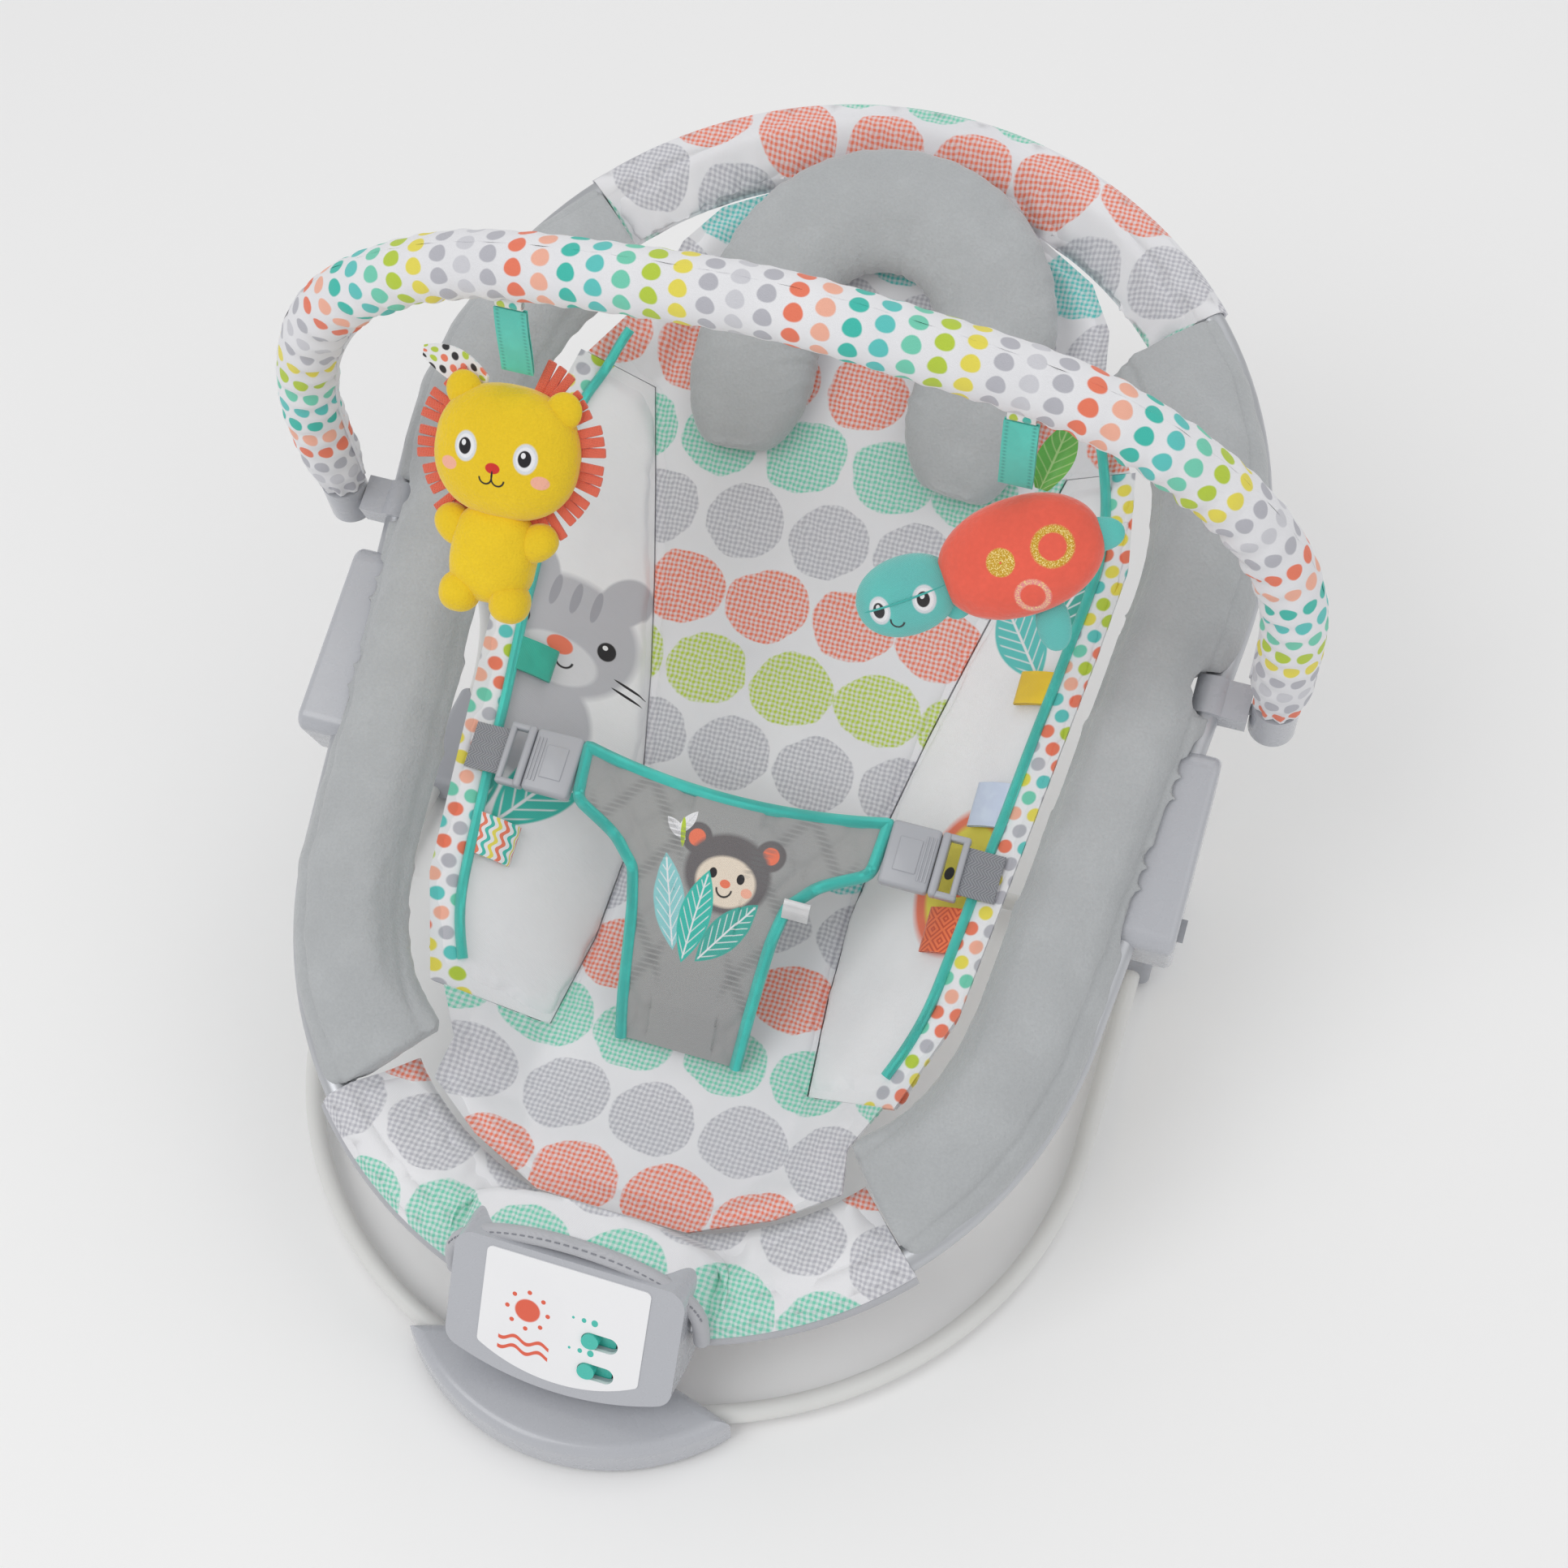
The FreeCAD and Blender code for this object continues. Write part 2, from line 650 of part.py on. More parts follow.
def console_solid(name, inset, front_inset):
    """The console's outer shape, or its hollow when inset: a bowed face pushed back, cut to the side view."""
    body = on_face(new_body(name))
    half, bow = d["console_half_width"] - inset, d["panel_bow"] + 1
    side_end = bow - face_length + inset
    plan = new_sketch(body, "XY_Plane", z=-front_inset)
    outline(plan, [(-half, 14), (-half, side_end), (half, side_end, bow_radius(half, bow)), (half, 14)])
    pad(body, plan, 90, back=True)
    top_front = face_point(rim_front_y, face_top_z - inset)
    top_back = face_point(console_back - inset, console_back_top - inset)
    low_back = face_point(console_back - inset, console_bottom + inset)
    low_front = face_point(console_front, console_bottom + inset)
    side = new_sketch(body, "YZ_Plane")
    outline(side, [beyond(top_front, top_back, 0.4), beyond(low_front, low_back, 0.2), low_back, top_back])
    rectangle(side, -200, -150, 100, 60)
    pocket(body, side, 300, both=True)
    fillet(body, 10 if front_inset == 0 else 7, runs_along_z)
    return body


def obround(sketch, x, y, length, width):
    end = width / 2
    reach = length / 2 - end
    arc = end * 1.0001
    return outline(sketch, [(x - reach, y - end, arc), (x + reach, y - end), (x + reach, y + end, arc),
                            (x - reach, y + end)])


def switch_row(row):
    return -d["panel_drop"] - d["switch_drop"] - row * d["switch_pitch"]


def make_slot(name, row):
    body = on_face(new_body(name))
    sketch = new_sketch(body, "XY_Plane", z=-8)
    obround(sketch, d["switch_x"], switch_row(row), d["slot_length"], d["slot_width"])
    pad(body, sketch, 12)
    return body


def make_knob(name, row):
    """A slide switch: its knob stands in the left end of the slot, on a flange behind the shell."""
    body = on_face(new_body(name))
    x = d["switch_x"] - (d["slot_length"] - d["knob_length"]) / 2 + d["button_gap"]
    flange = new_sketch(body, "XY_Plane", z=-5.6)
    rectangle(flange, x - 12, switch_row(row) - 6, x + 12, switch_row(row) + 6)
    pad(body, flange, 1.2)
    knob = new_sketch(body, "XY_Plane", z=-4.6)
    obround(knob, x, switch_row(row), d["knob_length"], d["slot_width"] - 2 * d["button_gap"])
    pad(body, knob, 6.4)
    return body


def make_panel():
    body = on_face(new_body("FacePanel"))
    half, top = d["panel_width"] / 2, -d["panel_drop"]
    sketch = new_sketch(body, "XY_Plane", z=d["panel_proud"] - d["panel_thick"])
    outline(sketch, [(-half, top), (-half, top - d["panel_side"]),
                     (half, top - d["panel_side"], bow_radius(half, d["panel_bow"])), (half, top)])
    pad(body, sketch, d["panel_thick"])
    fillet(body, 3, runs_along_z)
    return body


def make_shells(lower_space, panel, slots):
    """The two console shells with their screw bosses, and the battery door that closes the back one."""
    wall = d["console_wall"]
    outside = console_solid("ConsoleOutside", 0, 0)
    hollow = console_solid("ConsoleHollow", wall, 4)
    screw_z, screw_x = console_bottom + 11, d["console_half_width"] - 9
    bosses, screws = [], []
    for side in (-1, 1):
        spot = (side * screw_x, console_back, screw_z, X_AXIS, 90)
        bosses.append(cylinder("ConsoleBoss", 4, 70, *spot))
        screws.append(fuse("ConsoleScrew", cylinder("ConsoleScrewShank", 1.6, 31, *spot),
                           cylinder("ConsoleScrewHead", 3, 2, *spot)))
    door_half, door_gap, below = d["cell_length"] / 2 + 3, 0.2, 5
    door_low = console_bottom + 3.2
    door_height = 6 * d["cell_radius"] + 2 + door_low - console_bottom
    door_hole = block("DoorHole", 2 * (door_half + door_gap), wall + 2, door_height + below + door_gap,
                      -door_half - door_gap, console_back - wall - 1, console_bottom - below)
    shell = cut("ConsoleShell", outside, hollow)
    filled = common("ConsoleBosses", fuse("BossPair", *bosses), outside)
    whole = cut("ConsoleWhole", fuse("ConsoleFull", shell, filled), panel, *slots, door_hole, lower_space,
                group("ConsoleScrewTool", *screws))
    width, depth, height = 4 * d["console_half_width"], 100, 200
    front_half = block("FrontHalf", width, depth, height, -width / 2, console_split - depth, 0)
    back_half = block("BackHalf", width, depth, height, -width / 2, console_split, 0)
    keep("console_front_shell", common("ConsoleFrontShell", whole, front_half))
    keep("console_back_shell", common("ConsoleBackShell", whole, back_half))
    keep("console_screws", group("ConsoleScrews", *screws))
    door = block("BatteryDoorPlate", 2 * door_half, wall, door_height, -door_half, console_back - wall,
                 console_bottom)
    keep("battery_door", common("BatteryDoor", door, outside))
    return door_low


def make_cells(door_low):
    cell_y = console_back - d["console_wall"] - 0.4 - d["cell_radius"]
    cells = []
    for row in range(3):
        cell_z = door_low + 1 + d["cell_radius"] * (1 + 2 * row)
        cells.append(cylinder("Cell", d["cell_radius"] - 0.05, d["cell_length"], -d["cell_length"] / 2,
                              cell_y, cell_z, Y_AXIS, 90))
    keep("batteries", group("Batteries", *cells))


def make_electronics():
    """The circuit board behind the switches, the speaker beside it, and the vibration motor above."""
    board_thick, board_depth = 1.6, 9.4
    board = on_face(new_body("CircuitBoard"))
    board_sketch = new_sketch(board, "XY_Plane", z=-board_depth)
    rectangle(board_sketch, -8, switch_row(1) - 1, d["console_half_width"] - 13, switch_row(0) + 16)
    pad(board, board_sketch, board_thick)
    chip = new_sketch(board, "XY_Plane", z=board_thick - board_depth)
    rectangle(chip, d["switch_x"] + 14, switch_row(0) + 4, d["switch_x"] + 24, switch_row(0) + 12)
    pad(board, chip, board_thick)
    keep("circuit_board", board)
    speaker = on_face(new_body("Speaker"))
    speaker_sketch = new_sketch(speaker, "XY_Plane", z=-9.5)
    circle(speaker_sketch, -27, switch_row(0), 14)
    pad(speaker, speaker_sketch, 5.4)
    keep("speaker", speaker)
    radius, length = d["motor_radius"], d["motor_length"]
    motor_y, motor_z = console_back - radius - 5.5, console_back_top - radius - 5.5
    start = 29
    end = length + start
    can = cylinder("MotorCan", radius, length, start, motor_y, motor_z, Y_AXIS, 90)
    shaft_hole = cylinder("MotorBore", 1.05, 3, end - 2.8, motor_y, motor_z, Y_AXIS, 90)
    keep("vibration_motor", cut("VibrationMotor", can, shaft_hole))
    shaft = cylinder("MotorShaft", 1, 9, end - 2.5, motor_y, motor_z, Y_AXIS, 90)
    disc = cylinder("MotorDisc", radius - 1, 4.5, end + 1.5, motor_y, motor_z, Y_AXIS, 90)
    trim = block("MotorTrim", 6, 16, 8, end + 1, motor_y - 8, motor_z + 1)
    keep("motor_weight", fuse("MotorWeight", shaft, cut("MotorHalfDisc", disc, trim)))


def make_console(lower_space):
    panel = make_panel()
    slots = [make_slot("VolumeSlot", 0), make_slot("VibrationSlot", 1)]
    door_low = make_shells(lower_space, panel, slots)
    keep("face_panel", cut("FacePanelCut", panel, *slots))
    keep("volume_switch", make_knob("VolumeSwitch", 0))
    keep("vibration_switch", make_knob("VibrationSwitch", 1))
    make_cells(door_low)
    make_electronics()


make_console(tube_spaces[1])
doc.recompute()


# ---------------------------------------------------------------- padding (drawn in the seat's own frame)

def on_arc(radius, centre_y, angle):
    turn = math.radians(angle)
    return Vector(radius * math.cos(turn), centre_y + radius * math.sin(turn), 0)


def rim_numbers():
    """The rim's arcs as plain numbers: front and back centre, and the lean of the straight sides."""
    front_y = d["front_arc_y"].value
    back_y = front_y + d["rim_arc_spacing"].value
    lean = math.asin((d["back_radius"].value - d["front_radius"].value) / d["rim_arc_spacing"].value)
    return front_y, back_y, math.degrees(lean)


def seam_angle(along, centre_y, radius):
    return math.degrees(math.asin((along - centre_y) / radius))


def roll(name, spine, section):
    """A padded roll: a section of (outward, out of seat) points carried along the rim."""
    first = spine.Edges[0]
    start = first.valueAt(first.FirstParameter)
    outward = first.tangentAt(first.FirstParameter).cross(Z_AXIS)
    corners = [start + outward * u + Z_AXIS * v for u, v in section]
    profile = Part.makePolygon(corners + [corners[0]])
    shape = Part.Wire(spine.Edges).makePipeShell([profile], True, False)
    return in_seat(soft_shape(name, shape))


def bolster_spine():
    """Along the right side of the rim, from the front seam to the top seam."""
    front, back = d["front_radius"].value, d["back_radius"].value
    front_y, back_y, lean = rim_numbers()
    low = seam_angle(front_y - front + d["seam_front_in"].value, front_y, front)
    high = seam_angle(back_y + back - d["seam_top_in"].value, back_y, back)
    first = Part.Arc(on_arc(front, front_y, low), on_arc(front, front_y, (low - lean) / 2),
                     on_arc(front, front_y, -lean))
    side = Part.LineSegment(on_arc(front, front_y, -lean), on_arc(back, back_y, -lean))
    last = Part.Arc(on_arc(back, back_y, -lean), on_arc(back, back_y, (high - lean) / 2),
                    on_arc(back, back_y, high))
    return Part.Wire([first.toShape(), side.toShape(), last.toShape()])


def end_spine(back):
    """Round the top of the rim, or round its front, between the two seams."""
    front_y, back_y, lean = rim_numbers()
    if back:
        radius, centre = d["back_radius"].value, back_y
        seam = seam_angle(centre + radius - d["seam_top_in"].value, centre, radius)
        return Part.Wire([Part.Arc(on_arc(radius, centre, seam), on_arc(radius, centre, 90),
                                   on_arc(radius, centre, 180 - seam)).toShape()])
    radius, centre = d["front_radius"].value, front_y
    seam = seam_angle(centre - radius + d["seam_front_in"].value, centre, radius)
    return Part.Wire([Part.Arc(on_arc(radius, centre, 180 - seam), on_arc(radius, centre, 270),
                               on_arc(radius, centre, 360 + seam)).toShape()])


def loft(sections):
    wires = [Part.makePolygon([Vector(*p) for p in section + [section[0]]]) for section in sections]
    return Part.makeLoft(wires, True, True)


def shell_section(along, half, depth, edge_half, edge_depth):
    """A dished strip: flat at its depth, rising to its edges, one skin thick."""
    skin = d["skin"].value
    top = [(-edge_half, along, -edge_depth), (-half, along, -depth), (half, along, -depth),
           (edge_half, along, -edge_depth)]
    return top + [(x, y, z - skin) for x, y, z in reversed(top)]


def rim_offset_x(along, inset):
    """Half width of the opening inside the rolls, at a place along the seat."""
    front_y, back_y, lean = rim_numbers()
    front, back = d["front_radius"].value - inset, d["back_radius"].value - inset
    turn = math.radians(lean)
    low, high = front_y - front * math.sin(turn), back_y - back * math.sin(turn)
    if along < low:
        return math.sqrt(front ** 2 - (along - front_y) ** 2)
    if along > high:
        return math.sqrt(back ** 2 - (along - back_y) ** 2)
    share = (along - low) / (high - low)
    return math.cos(turn) * (front + (back - front) * share)


# The seat's lining in three stretches. FRONT and HEAD: place as a share of the rim arc's radius past the
# arc's centre, inset of the edge from the rim, run of the sloping side, depth, and depth of the edge.
FRONT = [(0.773, 42.1, 16, 15, 12), (0.686, 44, 26, 27, 13), (0.58, 44.2, 40, 41, 13),
         (0.473, 62.6, 34, 53, 12), (0.357, 67.7, 46, 62, 6)]
HEAD = [(0.2456, 65, 35, 33, 4), (0.456, 64, 22, 24, 6), (0.588, 47, 22, 18.3, 7), (0.697, 37, 21, 13.5, 7),
        (0.785, 35, 17, 9.7, 7), (0.829, 34.8, 16, 8, 7)]
# MIDDLE: place as a share of the way between the arcs' centres, inset of the strip's edge, and depth.
MIDDLE = [(-0.0885, 138, 76), (0.1327, 145, 80), (0.354, 145, 76), (0.575, 140, 67), (0.796, 133, 57),
          (1.018, 124, 45)]


def end_stations(rows, back):
    """(place along the seat, half width, depth, half width of the edge, depth of the edge)."""
    front_y, back_y, lean = rim_numbers()
    stations = []
    for share, inset, run, depth, edge_depth in rows:
        along = back_y + share * d["back_radius"].value if back else front_y - share * d["front_radius"].value
        edge = rim_offset_x(along, inset)
        stations.append((along, edge - run, depth, edge, edge_depth))
    return stations


def strip_stations():
    """(place along the seat, half width, depth) of the middle strip, from its front seam to its head seam."""
    front_y, back_y, lean = rim_numbers()
    first, last = end_stations(FRONT, False)[-1], end_stations(HEAD, True)[0]
    middle = []
    for share, inset, depth in MIDDLE:
        along = front_y + share * (back_y - front_y)
        middle.append((along, rim_offset_x(along, inset), depth))
    return [first[:3]] + middle + [last[:3]]


def make_seat_pad():
    front = loft([shell_section(*row) for row in end_stations(FRONT, False)])
    middle = loft([shell_section(s, half - 1, depth, half, depth - 1) for s, half, depth in strip_stations()])
    head = loft([shell_section(*row) for row in end_stations(HEAD, True)])
    return in_seat(soft_shape("SeatPad", front.fuse([middle, head]).removeSplitter()))


def make_wing():
    """The printed side panel, from the centre strip up to the bolster's inner edge."""
    skin, gap = d["skin"].value, d["soft_gap"].value
    sections = []
    for along, half, depth in strip_stations():
        edge = rim_offset_x(along, d["bolster_in"].value) - gap
        inner = half + gap
        sections.append([(inner, along, -depth), (edge, along, -1), (edge, along, -1 - skin),
                         (inner, along, -depth - skin)])
    return in_seat(soft_shape("Wing", loft(sections)))


def bolster_section():
    reach, crown = d["bolster_in"].value, d["bolster_crown"].value
    out, under = d["bolster_out"].value, d["bolster_under"].value
    return [(-reach, -2), (4 - reach, 0.45 * crown), (20 - reach, 0.9 * crown), (-0.38 * reach, crown),
            (-4, 0.8 * crown), (0.7 * out, 0.42 * crown), (out, 0), (0.7 * out, -0.75 * under), (0, -under),
            (-14, -under), (0.7 * -reach, -0.8 * under)]


def band_section(reach, drop):
    crown = d["band_crown"].value
    out, under = d["bolster_out"].value, d["bolster_under"].value
    return [(-reach, -9 - drop), (-0.6 * reach, -1 - drop), (-9, 0.9 * crown), (0.5 * out, 0.8 * crown), (out, 0),
            (0.7 * out, -0.75 * under), (0, -under), (-12, -under), (-reach, -12 - drop)]


def in_seat_block(name, low, high):
    """A block whose corners are given in the seat's own frame."""
    obj = doc.addObject("Part::Box", name)
    for prop, a, b in zip(("Length", "Width", "Height"), low, high):
        bind(obj, prop, b - a)
    x, along, out = low
    y, z = from_seat(along, out)
    return place(obj, x, y, z, X_AXIS, d["seat_tilt"])


def make_padding(spaces):
    gap = d["soft_gap"]
    raw = roll("BolsterRoll", bolster_spine(), bolster_section())
    hub_room = in_seat_block("HubRoom", (hub_plane - d["hub_inner"] - gap, d["hub_front"] - gap,
                                         -d["hub_bottom"]),
                             (hub_plane + 60, d["hub_back"] + gap, d["hub_top"] + gap))
    clamp_x = side_x(d["clamp_y"])
    clamp_room = in_seat_block("ClampRoom", (clamp_x - 11.5, d["clamp_y"] - d["clamp_width"] / 2 - gap, -20),
                               (clamp_x + 40, d["clamp_y"] + d["clamp_width"] / 2 + gap, 20))
    right = cut("RightBolster", raw, *spaces, hub_room, clamp_room)
    keep("right_bolster", right)
    keep("left_bolster", mirrored("LeftBolster", right))
    band = roll("HeadBandRoll", end_spine(True), band_section(d["band_in"].value, 0))
    keep("head_band", cut("HeadBand", band, spaces[0]))
    console_room = block("ConsoleRoom", 2 * (d["console_half_width"] + 2),
                         console_back + 1 - console_front, 120,
                         -d["console_half_width"] - 2, console_front, 20)
    apron = roll("ApronRoll", end_spine(False), band_section(d["apron_in"].value, 3))
    keep("front_apron", cut("Apron", apron, spaces[1], console_room))
    pillow = keep("head_pillow", make_pillow())
    keep("seat_pad", cut("SeatPadCut", make_seat_pad(), console_room, pillow))
    wing = make_wing()
    keep("right_wing", wing)
    keep("left_wing", mirrored("LeftWing", wing))


def make_pillow():
    """A horseshoe roll round the head, lying on the slope of the seat's back."""
    body = new_body("HeadPillow")
    radius, leg = d["pillow_radius"], -d["pillow_leg"]
    path = new_sketch(body, "XY_Plane")
    outline(path, [(radius, leg), (radius, 0), (0, radius, radius), (-radius, 0, radius), (-radius, leg)],
            closed=False)
    profile = new_sketch(body, "XZ_Plane", x=radius, z=-leg)
    obround(profile, 0, 0, d["pillow_width"], d["pillow_height"])
    pipe(body, profile, path)
    rim_back = d["front_arc_y"] + d["rim_arc_spacing"] + d["back_radius"]
    y, z = from_seat(rim_back - d["pillow_in"], d["pillow_out"])
    return place(body, 0, y, z, X_AXIS, d["seat_tilt"] + d["pillow_lean"])


make_padding(tube_spaces)
doc.recompute()


# ---------------------------------------------------------------- harness

# half width and height of the crotch panel along the seat, from the seat bottom to the waist
PANEL = [(-100, 34, -54), (-80, 36, -39), (-56, 38, -26), (-36, 40, -16), (-18, 44, -9), (-4, 58, -4),
         (8, 82, -2), (36, 84, 0)]


def make_harness():
    thick = d["crotch_thick"].value
    sections = [[(-half, along, out), (half, along, out), (half, along, out - thick),
                 (-half, along, out - thick)] for along, half, out in PANEL]
    keep("crotch_panel", in_seat(soft_shape("CrotchPanel", loft(sections))))

    middle, wall = d["buckle_along"], 2.5
    start = PANEL[-1][1] + d["soft_gap"]
    low, high = middle - d["buckle_width"] / 2, middle + d["buckle_width"] / 2
    top = 1
    bottom = top - d["buckle_thick"]
    socket_end = start + d["socket_length"]
    socket_box = in_seat_block("BuckleSocketBox", (start, low, bottom), (socket_end, high, top))
    cavity = in_seat_block("BuckleCavity", (socket_end - 14, low + wall, bottom + 2),
                           (socket_end + 1, high - wall, top - 2))
    keep("right_buckle_socket", cut("BuckleSocket", socket_box, cavity))
    tongue_end = socket_end + d["tongue_length"]
    tongue_box = in_seat_block("BuckleTongueBox", (socket_end + 0.2, low, bottom), (tongue_end, high, top))
    prongs = [in_seat_block("BuckleProng", (socket_end - d["prong_length"], along, bottom + 2.3),
                            (socket_end + 2, along + 6, top - 2.3))
              for along in (low + wall + 0.5, high - wall - 6.5)]
    web_low, web_high = middle - d["webbing_width"] / 2, middle + d["webbing_width"] / 2
    web_bottom = bottom + (d["buckle_thick"] - d["webbing_thick"]) / 2
    web_top = web_bottom + d["webbing_thick"]
    slot = in_seat_block("WebbingSlot", (socket_end + wall, web_low - 0.4, web_bottom - 0.4),
                         (tongue_end + 1, web_high + 0.4, web_top + 0.4))
    keep("right_buckle_tongue", cut("BuckleTongue", fuse("BuckleTongueFull", tongue_box, *prongs), slot))
    keep("right_harness_strap", in_seat_block("Webbing", (tongue_end - 3, web_low, web_bottom),
                                              (tongue_end + 19, web_high, web_top)))
    for piece in ("buckle_socket", "buckle_tongue", "harness_strap"):
        keep("left_" + piece, mirrored("Left_" + piece, parts["right_" + piece]))


def make_ribbons():
    """Ribbon loops sewn into the piping: (side, place along the seat, width)."""
    loops = []
    for side, along, width in ((-1, 78, 18), (-1, -22, 22), (1, 128, 18), (1, 62, 24), (1, -8, 24)):
        edge = rim_offset_x(along, d["bolster_in"].value) - 1.5
        length = d["ribbon_length"].value
        near = edge - length
        corner = Vector(near if side > 0 else -edge, along - width / 2, 0.6)
        shape = Part.makeBox(length, width, 2, corner)
        loops.append(in_seat(soft_shape("Ribbon", shape)))
    rolls = group("RollSpace", parts["left_bolster"], parts["right_bolster"])
    keep("ribbon_loops", cut("RibbonLoops", group("Ribbons", *loops), rolls))


make_harness()
make_ribbons()

# ---------------------------------------------------------------- toy bar (drawn in its own leaning frame)

pin_y, pin_z = from_seat(d["clamp_y"], 0)
bar_half = side_x(d["clamp_y"]) + d["rim_tube"] + d["bar_reach"]


def on_bar(obj):
    """Sets an object drawn in the bar's frame: X across, Z up along the bar's legs, Y towards the head."""
    return place(obj, 0, pin_y, pin_z, X_AXIS, d["bar_lean"])


def bar_point(x, height):
    """Where a point of the bar's own plane lies on the finished object."""
    turn = math.radians(d["bar_lean"].value)
    return Vector(x, pin_y.value - height * math.sin(turn), pin_z.value + height * math.cos(turn))


def bar_wire(name, radius, start):
    """The arch: straight legs, two corners and a wide top curve."""
    body = on_bar(new_body(name))
    half, rise, straight, top = bar_half, d["bar_rise"], d["bar_straight"], d["bar_top_radius"]
    reach = top - rise + straight
    corner = (top * top - half * half - reach * reach) / (2 * (top - half))
    touch_x = top * (half - corner) / (top - corner)
    touch_z = rise - top + top * reach / (top - corner)
    path = new_sketch(body, "XZ_Plane")
    outline(path, [(half, start), (half, straight), (touch_x, touch_z, corner), (0, rise, top),
                   (-touch_x, touch_z, top), (-half, straight, corner), (-half, start)], closed=False)
    profile = new_sketch(body, "XY_Plane", x=half, z=start)
    circle(profile, 0, 0, radius)
    pipe(body, profile, path)
    return body


def make_clamp():
    """A jaw round the rim tube, with an arm that holds the cup's pin."""
    x, width, along = side_x(d["clamp_y"]), d["clamp_width"], d["clamp_y"]
    radius = d["rim_tube"] / 2 + 3.5
    ring_body = in_seat(new_body("ClampRing"))
    sketch = new_sketch(ring_body, "XZ_Plane", z=-along)
    circle(sketch, x, 0, radius)
    pad(ring_body, sketch, width, both=True)
    arm_end = bar_half - d["cup_radius"] - 0.5
    arm_half, mouth_half = 8, 4.5
    arm = in_seat_block("ClampArm", (x, along - width / 2, -arm_half), (arm_end, along + width / 2, arm_half))
    mouth = in_seat_block("ClampMouth", (x - 20, along - width, -mouth_half), (x, along + width, mouth_half))
    return fuse("ClampFull", ring_body, arm), mouth, arm_end


def make_toy_bar(upper_space):
    clamp_full, mouth, arm_end = make_clamp()
    bore = cylinder("PinBore", d["pin_radius"] + d["pin_gap"], 14, arm_end - 13, pin_y, pin_z, Y_AXIS, 90)
    clamp = cut("Clamp", clamp_full, mouth, upper_space, bore)
    keep("right_toy_clamp", clamp)
    keep("left_toy_clamp", mirrored("LeftClamp", clamp))

    radius = d["bar_tube"] / 2
    core_start = 6 - d["cup_depth"] / 2
    core_outside = bar_wire("BarCoreOutside", radius, core_start)
    core_inside = bar_wire("BarCoreInside", radius - d["rim_wall"], core_start)
    keep("toy_bar_tube", cut("BarCore", core_outside, core_inside))
    sleeve = bar_wire("SleeveOutside", d["sleeve"] / 2, d["sleeve_start"])
    keep("toy_bar_sleeve", cut("Sleeve", sleeve, core_outside))

    cup_body, cup_top = on_bar(new_body("Cup")), d["cup_depth"] / 2
    cup_plan = new_sketch(cup_body, "XY_Plane", z=-cup_top)
    circle(cup_plan, bar_half, 0, d["cup_radius"])
    pad(cup_body, cup_plan, d["cup_depth"])
    socket = new_sketch(cup_body, "XY_Plane", z=cup_top)
    circle(socket, bar_half, 0, radius + 0.1)
    pocket(cup_body, socket, cup_top - core_start)
    pin = cylinder("CupPin", d["pin_radius"], 14, arm_end - 12, pin_y, pin_z, Y_AXIS, 90)
    cup = fuse("CupWithPin", cup_body, pin)
    keep("right_bar_cup", cup)
    keep("left_bar_cup", mirrored("LeftCup", cup))


def hanging_box(name, side, crown_y, width, low, high):
    """A flat piece of ribbon that hangs across the bar, between two heights."""
    thick = d["strap_thick"].value
    corner = Vector(side * d["toy_x"].value - width / 2, crown_y - thick / 2, low)
    return soft_shape(name, Part.makeBox(width, thick, high - low, corner))


def make_toys():
    """Two soft toys, each on a strap that hangs from a loop sewn under the sleeve."""
    toy_x, top = d["toy_x"].value, d["bar_top_radius"].value
    half, rise, straight = bar_half.value, d["bar_rise"].value, d["bar_straight"].value
    reach = top - rise + straight
    corner = (top ** 2 - half ** 2 - reach ** 2) / (2 * (top - half))
    bend_x, slope_x = half - corner, toy_x / top
    height = rise - top + math.sqrt(top ** 2 - toy_x ** 2)
    if toy_x > top * bend_x / (top - corner):
        height = straight + math.sqrt(corner ** 2 - (toy_x - bend_x) ** 2)
        slope_x = (toy_x - bend_x) / corner
    crown = bar_point(toy_x, height)
    drop = d["sleeve"].value / 2 / math.cos(math.asin(slope_x)) + 0.5
    pivot = crown.z - drop - d["loop_drop"].value
    width, length = d["strap_width"].value, d["strap_length"].value
    loops = [hanging_box("ToyLoop", side, crown.y, width - 2, pivot + 1, crown.z - drop - 1)
             for side in (-1, 1)]
    keep("toy_loops", group("ToyLoops", *loops))
    keep("lion_strap", hanging_box("LionStrap", -1, crown.y, width, pivot - 0.5 - length, pivot - 0.5))
    keep("turtle_strap", hanging_box("TurtleStrap", 1, crown.y, width, pivot - 0.5 - length, pivot - 0.5))
    toy_top = Vector(0, crown.y, pivot - length - d["toy_gap"].value)
    keep("lion_toy", make_lion(toy_top - Vector(toy_x, 0, 0)))
    keep("turtle_toy", make_turtle(toy_top + Vector(toy_x, 0, 0)))


def leaned(top, x, back, down):
    """A point of a toy: across, behind and below its top, with the toy leaning back in its hang."""
    turn = math.radians(d["toy_lean"].value)
    return Vector(top.x + x, top.y + back * math.cos(turn) - down * math.sin(turn),
                  top.z - back * math.sin(turn) - down * math.cos(turn))


def ball(name, centre, across, deep, tall, tilt=0):
    """An ellipsoid of a toy, leaning with it, and turned in the toy's own face by a tilt."""
    obj = doc.addObject("Part::Ellipsoid", name)
    obj.Radius1, obj.Radius2, obj.Radius3 = tall, across, deep
    obj.Angle1, obj.Angle2, obj.Angle3 = -90, 90, 360
    lean = Rotation(X_AXIS, -d["toy_lean"].value)
    obj.Placement = Placement(centre, lean.multiply(Rotation(Y_AXIS, tilt)))
    return obj


